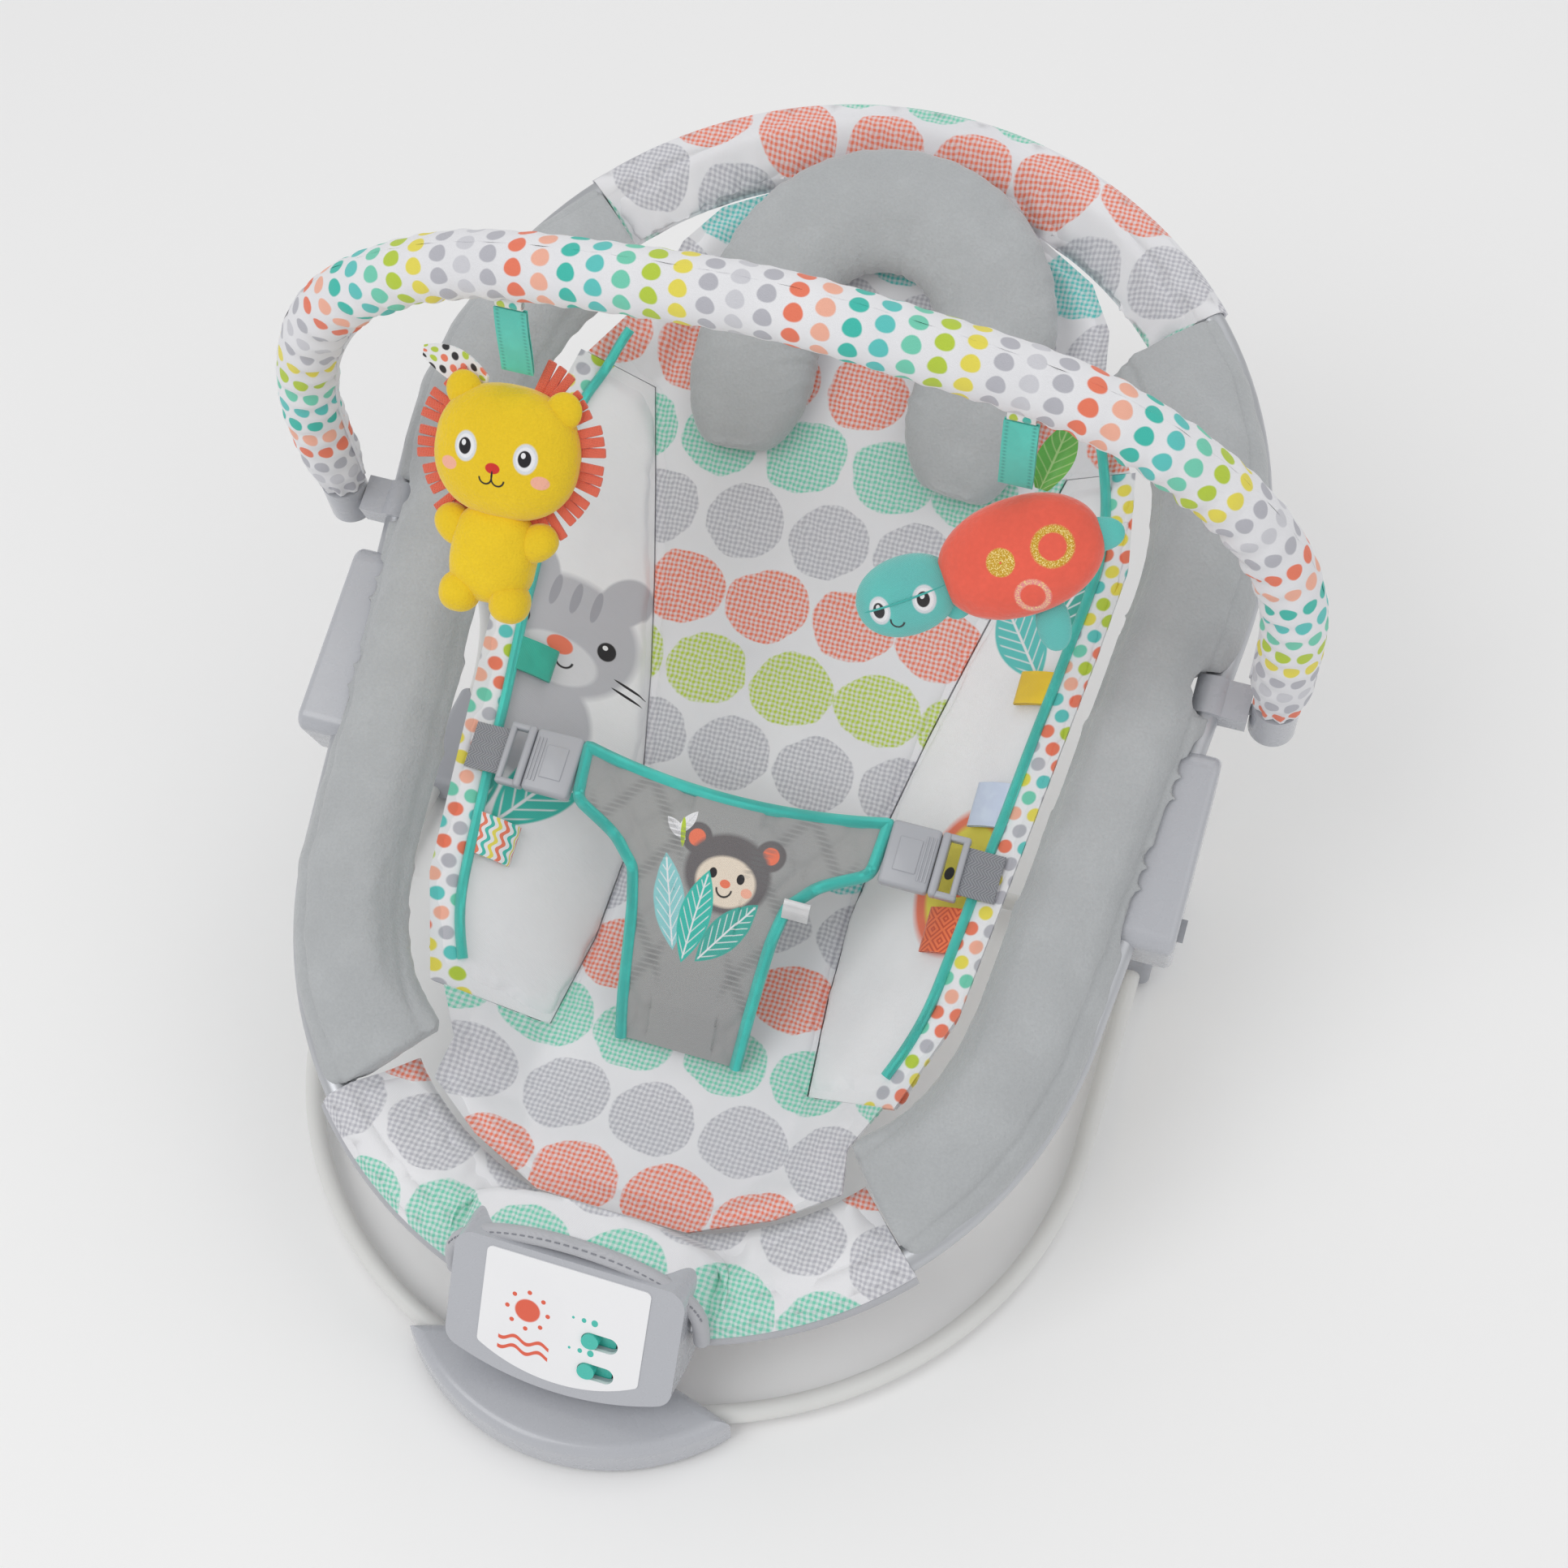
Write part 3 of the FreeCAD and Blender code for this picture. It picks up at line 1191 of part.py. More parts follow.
def make_lion(top):
    head_down = 36
    head = ball("LionHead", leaned(top, 0, 0, head_down), 36, 19, 33)
    mane_start = leaned(top, 0, 6.3, head_down + 1)
    mane = cylinder("LionMane", 41, 3.4, 0, 0, 0)
    mane.Placement = Placement(mane_start, Rotation(X_AXIS, 90 - d["toy_lean"].value))
    ears = [ball("LionEar", leaned(top, side * 24, -3, head_down - 26), 9, 5, 9.5) for side in (-1, 1)]
    body = ball("LionBody", leaned(top, 0, 0.8, head_down + 52), 25, 16.2, 31)
    return fuse("LionToy", head, mane, body, *ears)


def make_turtle(top):
    tilt, shell_x, shell_down, neck = 32, 9, 29, 56
    turn = math.radians(tilt)
    shell = ball("TurtleShell", leaned(top, shell_x, 0, shell_down), 27, 20, 40, 90 - tilt)
    head_at = leaned(top, shell_x - neck * math.cos(turn), 0, shell_down + neck * math.sin(turn))
    head = ball("TurtleHead", head_at, 19, 18, 25, 90 - tilt)
    return fuse("TurtleToy", shell, head)


make_toy_bar(tube_spaces[0])
make_toys()
doc.recompute()


# ---------------------------------------------------------------- checks and export

def check_all():
    for obj in doc.Objects:
        if "Invalid" in obj.State or "Error" in obj.State:
            raise RuntimeError("failed feature: %s %s" % (obj.Name, obj.State))
    for node, obj in parts.items():
        if obj.Shape.isNull() or not obj.Shape.isValid():
            raise RuntimeError("bad shape: " + node)


check_all()
os.makedirs("parts", exist_ok=True)
for node, obj in parts.items():
    obj.Shape.exportStep("parts/%s.step" % node)
print("%d sub-parts" % len(parts))
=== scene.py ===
"""The finished look of a baby bouncer seat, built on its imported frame."""
import json
import math

import bpy
import numpy as np
from mathutils import Matrix, Vector
from mathutils.bvhtree import BVHTree


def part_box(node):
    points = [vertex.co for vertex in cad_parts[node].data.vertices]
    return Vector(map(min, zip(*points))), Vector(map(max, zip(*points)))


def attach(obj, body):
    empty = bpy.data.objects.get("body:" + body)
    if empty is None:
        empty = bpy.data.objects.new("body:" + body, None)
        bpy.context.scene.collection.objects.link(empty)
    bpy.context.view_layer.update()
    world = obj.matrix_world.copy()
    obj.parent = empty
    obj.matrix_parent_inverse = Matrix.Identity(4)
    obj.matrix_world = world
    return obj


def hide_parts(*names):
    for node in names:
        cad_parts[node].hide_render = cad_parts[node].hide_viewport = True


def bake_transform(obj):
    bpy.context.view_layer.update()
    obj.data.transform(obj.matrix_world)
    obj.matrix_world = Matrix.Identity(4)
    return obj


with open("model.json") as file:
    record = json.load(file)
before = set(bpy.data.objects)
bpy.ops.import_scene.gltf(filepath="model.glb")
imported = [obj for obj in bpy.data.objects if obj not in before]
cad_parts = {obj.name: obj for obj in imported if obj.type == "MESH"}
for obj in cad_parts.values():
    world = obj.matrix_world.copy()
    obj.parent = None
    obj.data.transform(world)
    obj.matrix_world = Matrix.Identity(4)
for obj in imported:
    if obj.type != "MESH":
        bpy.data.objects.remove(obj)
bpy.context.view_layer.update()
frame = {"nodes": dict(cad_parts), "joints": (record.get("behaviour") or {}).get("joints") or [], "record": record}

nodes = frame["nodes"]
joints = {joint["name"]: joint for joint in frame["joints"]}

# ---------------------------------------------------------------- the seat's own frame, in metres

MM = 0.001
SEAT_TILT = math.radians(23.7)
CLAMP_ALONG = 140 * MM
BACK_RADIUS, FRONT_RADIUS = 228 * MM, 207 * MM
ARC_SPACING, FRONT_ARC = 226 * MM, -30 * MM
RIM_LEAN = (BACK_RADIUS - FRONT_RADIUS) / ARC_SPACING
RIM_ACROSS = math.sqrt(1 - RIM_LEAN ** 2)
BACK_ARC = FRONT_ARC + ARC_SPACING

ALONG = Vector((0, math.cos(SEAT_TILT), math.sin(SEAT_TILT)))
OUT = Vector((0, -math.sin(SEAT_TILT), math.cos(SEAT_TILT)))
CLAMP = Vector(joints["toy_bar_tilt"]["pos_m"])
SEAT_ORIGIN = CLAMP - ALONG * CLAMP_ALONG


def seat(x, along, out):
    """A point given across, along and out of the seat's plane."""
    return SEAT_ORIGIN + Vector((x, 0, 0)) + ALONG * along + OUT * out


def to_seat(points):
    """Arrays of across, along and out for an array of points."""
    moved = points - np.array(SEAT_ORIGIN)
    return moved[:, 0], moved @ np.array(ALONG), moved @ np.array(OUT)


def rim_inset(x, along):
    """How far a place lies inside the rim's centre line."""
    x = np.abs(x)
    front = FRONT_RADIUS - np.hypot(x, along - FRONT_ARC)
    back = BACK_RADIUS - np.hypot(x, along - BACK_ARC)
    side = FRONT_RADIUS - x * RIM_ACROSS + (along - FRONT_ARC) * RIM_LEAN
    travel = x * RIM_LEAN + (along - FRONT_ARC) * RIM_ACROSS
    return np.where(travel < 0, front, np.where(travel > ARC_SPACING * RIM_ACROSS, back, side))


def half_width(along, inset):
    """Half width of the rim, less an inset, at a place along the seat."""
    front, back = FRONT_RADIUS - inset, BACK_RADIUS - inset
    low, high = FRONT_ARC - front * RIM_LEAN, BACK_ARC - back * RIM_LEAN
    if along < low:
        return math.sqrt(max(front ** 2 - (along - FRONT_ARC) ** 2, 0))
    if along > high:
        return math.sqrt(max(back ** 2 - (along - BACK_ARC) ** 2, 0))
    return RIM_ACROSS * (front + (back - front) * (along - low) / (high - low))


# ---------------------------------------------------------------- handling objects

def select_only(obj):
    bpy.ops.object.select_all(action="DESELECT")
    obj.select_set(True)
    bpy.context.view_layer.objects.active = obj


def new_object():
    """The object that the last operator made, with nothing else selected."""
    obj = bpy.context.active_object
    select_only(obj)
    return obj


def points_of(obj):
    flat = np.empty(len(obj.data.vertices) * 3)
    obj.data.vertices.foreach_get("co", flat)
    return flat.reshape(-1, 3)


def set_points(obj, points):
    obj.data.vertices.foreach_set("co", np.ascontiguousarray(points).ravel())
    obj.data.update()


def normals_of(obj):
    flat = np.empty(len(obj.data.vertices) * 3)
    obj.data.vertices.foreach_get("normal", flat)
    return flat.reshape(-1, 3)


def edit(obj, *steps):
    """Runs steps in edit mode on everything in the object."""
    select_only(obj)
    bpy.ops.object.mode_set(mode="EDIT")
    bpy.ops.mesh.select_all(action="SELECT")
    for step in steps:
        step()
    bpy.ops.object.mode_set(mode="OBJECT")


def merge():
    bpy.ops.mesh.remove_doubles(threshold=0.00002)


def recalculate():
    bpy.ops.mesh.normals_make_consistent(inside=False)


def apply_modifier(obj, kind, **settings):
    select_only(obj)
    modifier = obj.modifiers.new(kind.title(), kind)
    for name, value in settings.items():
        setattr(modifier, name, value)
    bpy.ops.object.modifier_apply(modifier=modifier.name)


def bake_place(obj):
    """Puts the object's place into its mesh."""
    select_only(obj)
    bpy.ops.object.transform_apply(location=True, rotation=True, scale=True)


def smooth(obj, degrees=40):
    select_only(obj)
    bpy.ops.object.shade_smooth_by_angle(angle=math.radians(degrees))


def join(name, pieces):
    bpy.ops.object.select_all(action="DESELECT")
    for piece in pieces:
        piece.select_set(True)
    bpy.context.view_layer.objects.active = pieces[0]
    bpy.ops.object.join()
    pieces[0].name = name
    return pieces[0]


def finish_piece(obj, name, look, body, replaces=()):
    obj.name = name
    obj.data.name = name
    obj.data.materials.clear()
    obj.data.materials.append(look)
    if isinstance(body, tuple):
        first, second, start, end = body
        tuple(start)
        tuple(end)
        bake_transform(obj)
    else:
        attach(obj, body)
    if replaces:
        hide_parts(*replaces)
    return obj


def duplicate(obj, mirror=False):
    copy = obj.copy()
    copy.data = obj.data.copy()
    bpy.context.scene.collection.objects.link(copy)
    if mirror:
        copy.data.transform(Matrix.Diagonal((-1, 1, 1, 1)))
        edit(copy, recalculate)
    return copy


def grid(columns, rows, place, wrap=False):
    """A sheet whose points are set by a function of their shares across and along it."""
    bpy.ops.object.select_all(action="DESELECT")
    bpy.ops.mesh.primitive_grid_add(x_subdivisions=columns, y_subdivisions=rows, size=1)
    obj = new_object()
    shares = points_of(obj)[:, :2] + 0.5
    set_points(obj, np.array([place(u, v) for u, v in shares]))
    if wrap:
        edit(obj, merge)
    edit(obj, recalculate)
    return obj


def set_uv(obj, width, height):
    """Turns the sheet's shares into metres in its UV map."""
    layer = obj.data.uv_layers.active.data
    flat = np.empty(len(layer) * 2)
    layer.foreach_get("uv", flat)
    flat = flat.reshape(-1, 2) * (width, height)
    layer.foreach_set("uv", flat.ravel())


def tube(points, radius, closed=False, resolution=4):
    """A round piece along a smooth line."""
    curve = bpy.data.curves.new("Line", "CURVE")
    curve.dimensions = "3D"
    curve.bevel_depth = radius
    curve.bevel_resolution = resolution
    curve.use_fill_caps = not closed
    curve.resolution_u = 3
    spline = curve.splines.new("NURBS")
    spline.points.add(len(points) - 1)
    for target, point in zip(spline.points, points):
        target.co = (*point, 1)
    spline.order_u = 3
    spline.use_endpoint_u = True
    spline.use_cyclic_u = closed
    obj = bpy.data.objects.new("Line", curve)
    bpy.context.scene.collection.objects.link(obj)
    select_only(obj)
    bpy.ops.object.convert(target="MESH")
    obj = new_object()
    edit(obj, merge, recalculate)
    return obj


def box_piece(low, high, bevel, axes=None, origin=Vector((0, 0, 0)), segments=3):
    """A rounded block between two corners, in a frame of its own."""
    bpy.ops.object.select_all(action="DESELECT")
    middle = [(a + b) / 2 for a, b in zip(low, high)]
    bpy.ops.mesh.primitive_cube_add(size=1, location=middle)
    obj = new_object()
    obj.scale = [b - a for a, b in zip(low, high)]
    bake_place(obj)
    apply_modifier(obj, "BEVEL", width=bevel, segments=segments, limit_method="ANGLE")
    if axes is not None:
        obj.data.transform(Matrix.Translation(origin) @ axes.to_4x4())
    return obj


SEAT_AXES = Matrix((Vector((1, 0, 0)), ALONG, OUT)).transposed()


def seat_block(low, high, bevel, segments=3):
    return box_piece(low, high, bevel, SEAT_AXES, SEAT_ORIGIN, segments)


# ---------------------------------------------------------------- padding

def copy_of(node):
    """A merged copy of a CAD node's mesh."""
    obj = nodes[node].copy()
    obj.data = nodes[node].data.copy()
    for key in list(obj.keys()):
        del obj[key]
    obj.parent = None
    bpy.context.scene.collection.objects.link(obj)
    obj.matrix_world = Matrix.Identity(4)
    edit(obj, merge, recalculate)
    return obj


def inflate(obj, pressure, cap):
    """Swells a closed mesh as stuffed cloth, and lets no point move past the cap."""
    start = points_of(obj)
    scene = bpy.context.scene
    cloth = obj.modifiers.new("Cloth", "CLOTH")
    cloth.settings.quality = 4
    cloth.settings.use_pressure = True
    cloth.settings.uniform_pressure_force = pressure
    cloth.settings.effector_weights.gravity = 0
    cloth.settings.tension_stiffness = 12
    cloth.settings.compression_stiffness = 12
    cloth.settings.bending_stiffness = 0.4
    for number in range(1, 21):
        scene.frame_set(number)
    swollen = obj.evaluated_get(bpy.context.evaluated_depsgraph_get())
    moved = points_of(swollen) - start
    obj.modifiers.remove(cloth)
    scene.frame_set(1)
    length = np.linalg.norm(moved, axis=1, keepdims=True)
    set_points(obj, start + moved * np.minimum(1, cap / np.maximum(length, 1e-9)))


def padded_copy(node, voxel, shrink, cap, pressure=4.0):
    """A CAD node's soft shape as stuffed cloth."""
    obj = copy_of(node)
    obj.data.materials.clear()
    apply_modifier(obj, "REMESH", mode="VOXEL", voxel_size=voxel, use_smooth_shade=True)
    apply_modifier(obj, "SMOOTH", factor=0.5, iterations=4)
    set_points(obj, points_of(obj) - normals_of(obj) * shrink)
    inflate(obj, pressure, cap)
    apply_modifier(obj, "SUBSURF", levels=1, render_levels=1)
    return obj


def with_shell(obj, node):
    """Adds the cloth's own cut outline under its stuffing, so that neighbours meet at their seams."""
    shell = copy_of(node)
    shell.data.materials.clear()
    set_points(shell, points_of(shell) - normals_of(shell) * 0.4 * MM)
    return join(obj.name, [obj, shell])


def displace(obj, depth):
    """Moves each point out along its normal by a function of its place on the seat."""
    points = points_of(obj)
    normals = normals_of(obj)
    x, along, out = to_seat(points)
    amount = depth(x, along, out, normals @ np.array(OUT))
    set_points(obj, points + normals * amount[:, None])


def waves(a, b, length):
    """Uneven folds across a direction, between -1 and 1."""
    turn = 2 * math.pi / length
    bend = 1.2 * np.sin(b * turn * 0.31 + 0.7) + 0.9 * np.sin(b * turn * 0.17)
    first = np.sin(a * turn + bend)
    second = np.sin(a * turn * 0.63 + 1.9 + bend * 0.6)
    third = np.sin(a * turn * 1.73 + 4.1 - bend)
    return 0.5 * first + 0.3 * second + 0.2 * third


def ridge(value, centre, width):
    return np.exp(-((value - centre) / width) ** 2)


class Surface:
    """The top of some pieces, to lay trims on."""

    def __init__(self, pieces):
        points, faces = [], []
        for piece in pieces:
            base = len(points)
            points += [tuple(point) for point in points_of(piece)]
            faces += [[base + index for index in face.vertices] for face in piece.data.polygons]
        self.tree = BVHTree.FromPolygons(points, faces)

    def top(self, x, along, lift=0.0, start=0.2):
        """The point of the surface under a place of the seat, lifted off it."""
        hit, normal, index, distance = self.tree.ray_cast(seat(x, along, start), -OUT)
        if hit is None:
            return seat(x, along, lift)
        if normal.dot(OUT) < 0:
            normal = -normal
        return hit + (normal + OUT).normalized() * lift


# ---------------------------------------------------------------- materials

def srgb(red, green, blue):
    """A colour as a maker names it, as the shader's own numbers."""
    parts = [channel / 255 for channel in (red, green, blue)]
    return tuple(p / 12.92 if p < 0.04045 else ((p + 0.055) / 1.055) ** 2.4 for p in parts) + (1,)


WHITE = srgb(243, 243, 246)
CORAL = srgb(244, 128, 98)
MINT = srgb(120, 214, 186)
AQUA = srgb(96, 205, 200)
TEAL = srgb(64, 196, 180)
LIME = srgb(190, 214, 66)
YELLOW = srgb(240, 226, 88)
PEACH = srgb(250, 184, 160)
PRINT_GREY = srgb(190, 190, 198)
PALE_GREY = srgb(214, 214, 220)
INK = srgb(34, 32, 36)
LEAF_TEAL = srgb(72, 178, 164)
LEAF_PALE = srgb(150, 214, 216)
PLUSH_GREY = srgb(184, 187, 189)
PANEL_GREY = srgb(166, 167, 166)
BODY_GREY = srgb(186, 188, 194)


class Look:
    """A material being made. Its calls add nodes and give their outputs, and paint builds its colour up."""

    def __init__(self, name, colour, roughness, **constants):
        self.material = bpy.data.materials.new(name)
        self.material.use_nodes = True
        self.tree = self.material.node_tree
        self.shader = self.tree.nodes["Principled BSDF"]
        self.shader.inputs["Base Color"].default_value = colour
        self.shader.inputs["Roughness"].default_value = roughness
        for name, value in constants.items():
            self.shader.inputs[name.replace("_", " ")].default_value = value
        self.colour = colour
        self.height = None
        self.place = self.node("ShaderNodeTexCoord", {}, "Object")

    def feed(self, socket, value):
        if isinstance(value, bpy.types.NodeSocket):
            self.tree.links.new(value, socket)
        else:
            socket.default_value = value

    def node(self, kind, inputs, output=0, **settings):
        node = self.tree.nodes.new(kind)
        for name, value in settings.items():
            setattr(node, name, value)
        for name, value in inputs.items():
            self.feed(node.inputs[name], value)
        return node.outputs[output]

    def math(self, operation, *values):
        return self.node("ShaderNodeMath", dict(enumerate(values)), operation=operation)

    def vector(self, operation, *values, output=0):
        return self.node("ShaderNodeVectorMath", dict(enumerate(values)), output, operation=operation)

    def mapping(self, vector, location=(0, 0, 0), rotation=(0, 0, 0), scale=(1, 1, 1), kind="POINT"):
        inputs = {"Vector": vector, "Location": location, "Rotation": rotation, "Scale": scale}
        return self.node("ShaderNodeMapping", inputs, vector_type=kind)

    def split(self, vector):
        node = self.tree.nodes.new("ShaderNodeSeparateXYZ")
        self.feed(node.inputs[0], vector)
        return node.outputs[0], node.outputs[1], node.outputs[2]

    def flat(self, a, b):
        return self.node("ShaderNodeCombineXYZ", {0: a, 1: b, 2: 0.0})

    def noise(self, vector, scale, detail=2.0):
        inputs = {"Vector": vector, "Scale": scale, "Detail": detail}
        return self.node("ShaderNodeTexNoise", inputs, "Fac")

    def span(self, value, low, high, start, end):
        inputs = {"Value": value, 1: low, 2: high, 3: start, 4: end}
        return self.node("ShaderNodeMapRange", inputs)

    def ramp(self, value, colours):
        """One plain colour after another, in equal steps."""
        node = self.tree.nodes.new("ShaderNodeValToRGB")
        node.color_ramp.interpolation = "CONSTANT"
        stops = node.color_ramp.elements
        while len(stops) < len(colours):
            stops.new(0.5)
        for index, colour in enumerate(colours):
            stops[index].position = index / len(colours)
        for index, colour in enumerate(colours):
            stops[index].color = colour
        self.feed(node.inputs[0], value)
        return node.outputs[0]

    def paint(self, mask, colour):
        mix = self.tree.nodes.new("ShaderNodeMix")
        mix.data_type = "RGBA"
        self.feed(mix.inputs[0], mask)
        self.feed(mix.inputs[6], self.colour)
        self.feed(mix.inputs[7], colour)
        self.colour = mix.outputs[2]

    def raise_by(self, value, amount):
        """Adds a height, in metres, to the surface's relief."""
        step = self.math("MULTIPLY", value, amount)
        self.height = step if self.height is None else self.math("ADD", self.height, step)

    def seat_plane(self):
        """Coordinates across and along the seat, seen square to it."""
        turn = Matrix.Rotation(-SEAT_TILT, 3, "X")
        moved = self.mapping(self.place, location=-(turn @ SEAT_ORIGIN), rotation=(-SEAT_TILT, 0, 0))
        x, along, out = self.split(moved)
        return self.flat(x, along)

    def oval(self, plane, x, y, half_x, half_y, turn=0.0, soft=0.06):
        moved = self.mapping(plane, (x, y, 0), (0, 0, turn), (half_x, half_y, 1), "TEXTURE")
        reach = self.vector("LENGTH", moved, output="Value")
        return self.span(reach, 1 - soft, 1 + soft, 1.0, 0.0)

    def ring(self, plane, x, y, half_x, half_y, width, turn=0.0):
        outer = self.oval(plane, x, y, half_x, half_y, turn)
        inner = self.oval(plane, x, y, half_x - width, half_y - width, turn)
        return self.math("SUBTRACT", outer, inner)

    def arc(self, plane, x, y, radius, width, above):
        """The half of a ring above or below its middle."""
        ring = self.ring(plane, x, y, radius, radius, width)
        height = self.split(plane)[1]
        low, high = (0.0, 1.0) if above else (1.0, 0.0)
        side = self.span(height, y - 0.0003, y + 0.0003, low, high)
        return self.math("MULTIPLY", ring, side)

    def stripes(self, value, pitch, share):
        """Lines of a share of their pitch."""
        part = self.math("FRACT", self.math("DIVIDE", value, pitch))
        gap = self.math("ABSOLUTE", self.math("SUBTRACT", part, 0.5))
        return self.span(gap, share / 2 - 0.08, share / 2 + 0.08, 1.0, 0.0)

    def leaf(self, plane, x, y, half_width_, half_length, turn, colour, vein):
        moved = self.mapping(plane, (x, y, 0), (0, 0, turn), (half_width_, half_length, 1), "TEXTURE")
        across, up = self.split(moved)[:2]
        across = self.math("ABSOLUTE", across)
        edge = self.math("ADD", across, self.math("MULTIPLY", up, up))
        inside = self.span(edge, 0.95, 1.02, 1.0, 0.0)
        self.paint(inside, colour)
        slant = self.math("SUBTRACT", up, self.math("MULTIPLY", across, 0.55))
        lines = self.stripes(slant, 0.24, 0.14)
        stem = self.span(across, 0.03, 0.07, 1.0, 0.0)
        marks = self.math("MAXIMUM", lines, stem)
        within = self.span(edge, 0.80, 0.88, 1.0, 0.0)
        self.paint(self.math("MULTIPLY", marks, within), vein)

    def done(self, bump=1.0):
        if isinstance(self.colour, bpy.types.NodeSocket):
            self.feed(self.shader.inputs["Base Color"], self.colour)
        if self.height is not None:
            inputs = {"Height": self.height, "Strength": bump, "Distance": 1.0}
            self.feed(self.shader.inputs["Normal"], self.node("ShaderNodeBump", inputs))
        return self.material


def add_weave(look, plane, pitch, depth):
    """Crossed threads on a plane."""
    x, y = look.split(plane)[:2]
    turn = 2 * math.pi / pitch
    warp = look.math("SINE", look.math("MULTIPLY", x, turn))
    weft = look.math("SINE", look.math("MULTIPLY", y, turn))
    look.raise_by(look.math("MULTIPLY", warp, weft), depth)


def shade_cloth(look, amount=0.10, scale=14.0):
    """Slight unevenness of a cloth's tone."""
    tone = look.noise(look.place, scale, 3.0)
    look.paint(look.span(tone, 0.35, 0.75, 0.0, amount), srgb(120, 120, 140))


def plush(name, colour, pile=0.0016, roughness=0.85):
    """Short soft pile whose nap lies unevenly."""
    look = Look(name, colour, roughness, Sheen_Weight=0.45, Sheen_Roughness=0.4)
    nap = look.noise(look.place, 38.0, 3.0)
    dark = tuple(channel * 0.78 for channel in colour[:3]) + (1,)
    light = tuple(min(channel * 1.13, 1) for channel in colour[:3]) + (1,)
    look.paint(look.span(nap, 0.42, 0.72, 0.0, 0.22), dark)
    look.paint(look.span(nap, 0.30, 0.46, 0.35, 0.0), light)
    fibre = look.noise(look.place, 1.0 / pile, 4.0)
    look.paint(look.span(fibre, 0.40, 0.65, 0.22, 0.0), dark)
    tufts = look.noise(look.place, 0.32 / pile, 2.0)
    look.raise_by(fibre, 0.0005)
    look.raise_by(tufts, 0.0006)
    return look


def big_dot_look(name, rows, first_row):
    """White cloth with large hand-hatched dots, one colour for each row."""
    look = Look(name, WHITE, 0.75, Sheen_Weight=0.15)
    plane = look.seat_plane()
    row_pitch, column_pitch, radius = 0.041, 0.049, 0.0200
    wobble = look.noise(plane, 34.0, 2.0)
    x, along = look.split(plane)[:2]
    rows_up = look.math("DIVIDE", look.math("SUBTRACT", along, first_row), row_pitch)
    row = look.math("FLOOR", rows_up)
    shift = look.math("MULTIPLY", look.math("MODULO", look.math("ADD", row, 100.0), 2.0), 0.5)
    columns = look.math("ADD", look.math("DIVIDE", x, column_pitch), shift)
    u = look.math("MULTIPLY", look.math("SUBTRACT", look.math("FRACT", columns), 0.5), column_pitch)
    v = look.math("MULTIPLY", look.math("SUBTRACT", look.math("FRACT", rows_up), 0.5), row_pitch)
    reach = look.vector("LENGTH", look.flat(look.math("MULTIPLY", u, 0.86), v), output="Value")
    uneven = look.math("ADD", reach, look.math("MULTIPLY", wobble, 0.010))
    dot = look.span(uneven, radius + 0.0042, radius + 0.0050, 1.0, 0.0)
    bend = look.math("MULTIPLY", look.noise(plane, 160.0, 1.0), 0.0022)
    across = look.stripes(look.math("ADD", x, bend), 0.0027, 0.50)
    upward = look.stripes(look.math("ADD", along, bend), 0.0027, 0.50)
    hatch = look.span(look.math("ADD", across, upward), 0.0, 2.0, 0.22, 1.0)
    number = look.math("DIVIDE", look.math("ADD", row, 0.5), float(len(rows)))
    colour = look.ramp(look.math("FRACT", number), rows)
    shade_cloth(look)
    look.paint(look.math("MULTIPLY", dot, hatch), colour)
    add_weave(look, plane, 0.0007, 0.00006)
    return look


def small_dots(look, plane, pitch, radius, colours, shown):
    """Staggered small dots in mixed colours, painted where shown is 1."""
    x, y = look.split(plane)[:2]
    rows_up = look.math("DIVIDE", y, pitch * 0.87)
    row = look.math("FLOOR", rows_up)
    shift = look.math("MULTIPLY", look.math("MODULO", look.math("ADD", row, 100.0), 2.0), 0.5)
    columns = look.math("ADD", look.math("DIVIDE", x, pitch), shift)
    u = look.math("SUBTRACT", look.math("FRACT", columns), 0.5)
    v = look.math("MULTIPLY", look.math("SUBTRACT", look.math("FRACT", rows_up), 0.5), 0.87)
    reach = look.vector("LENGTH", look.flat(u, v), output="Value")
    dot = look.span(reach, radius / pitch - 0.04, radius / pitch + 0.04, 1.0, 0.0)
    cell = look.flat(look.math("FLOOR", columns), row)
    chance = look.node("ShaderNodeTexWhiteNoise", {"Vector": cell}, "Value")
    look.paint(look.math("MULTIPLY", dot, shown), look.ramp(chance, colours))


def sleeve_look():
    """White cloth with columns of small egg-shaped dots."""
    look = Look("sleeve_print", WHITE, 0.75, Sheen_Weight=0.15)
    plane = look.node("ShaderNodeTexCoord", {}, "UV")
    pitch, step = 0.0128, 0.0112
    u, v = look.split(plane)[:2]
    columns = look.math("DIVIDE", u, pitch)
    column = look.math("FLOOR", columns)
    shift = look.math("MULTIPLY", look.math("MODULO", column, 2.0), 0.5)
    rows_up = look.math("ADD", look.math("DIVIDE", v, step), shift)
    a = look.math("MULTIPLY", look.math("SUBTRACT", look.math("FRACT", columns), 0.5), pitch)
    b = look.math("MULTIPLY", look.math("SUBTRACT", look.math("FRACT", rows_up), 0.5), step)
    egg = look.math("ADD", 1.0, look.math("MULTIPLY", b, 40.0))
    reach = look.vector("LENGTH", look.flat(look.math("MULTIPLY", a, egg), b), output="Value")
    dot = look.span(reach, 0.0039, 0.0045, 1.0, 0.0)
    order = [PRINT_GREY, PALE_GREY, PRINT_GREY, CORAL, PEACH, TEAL, AQUA, MINT, LIME, YELLOW]
    number = look.math("FRACT", look.math("DIVIDE", look.math("ADD", column, 0.5), float(len(order))))
    shade_cloth(look)
    look.paint(dot, look.ramp(number, order))
    add_weave(look, plane, 0.0007, 0.00006)
    return look.done()


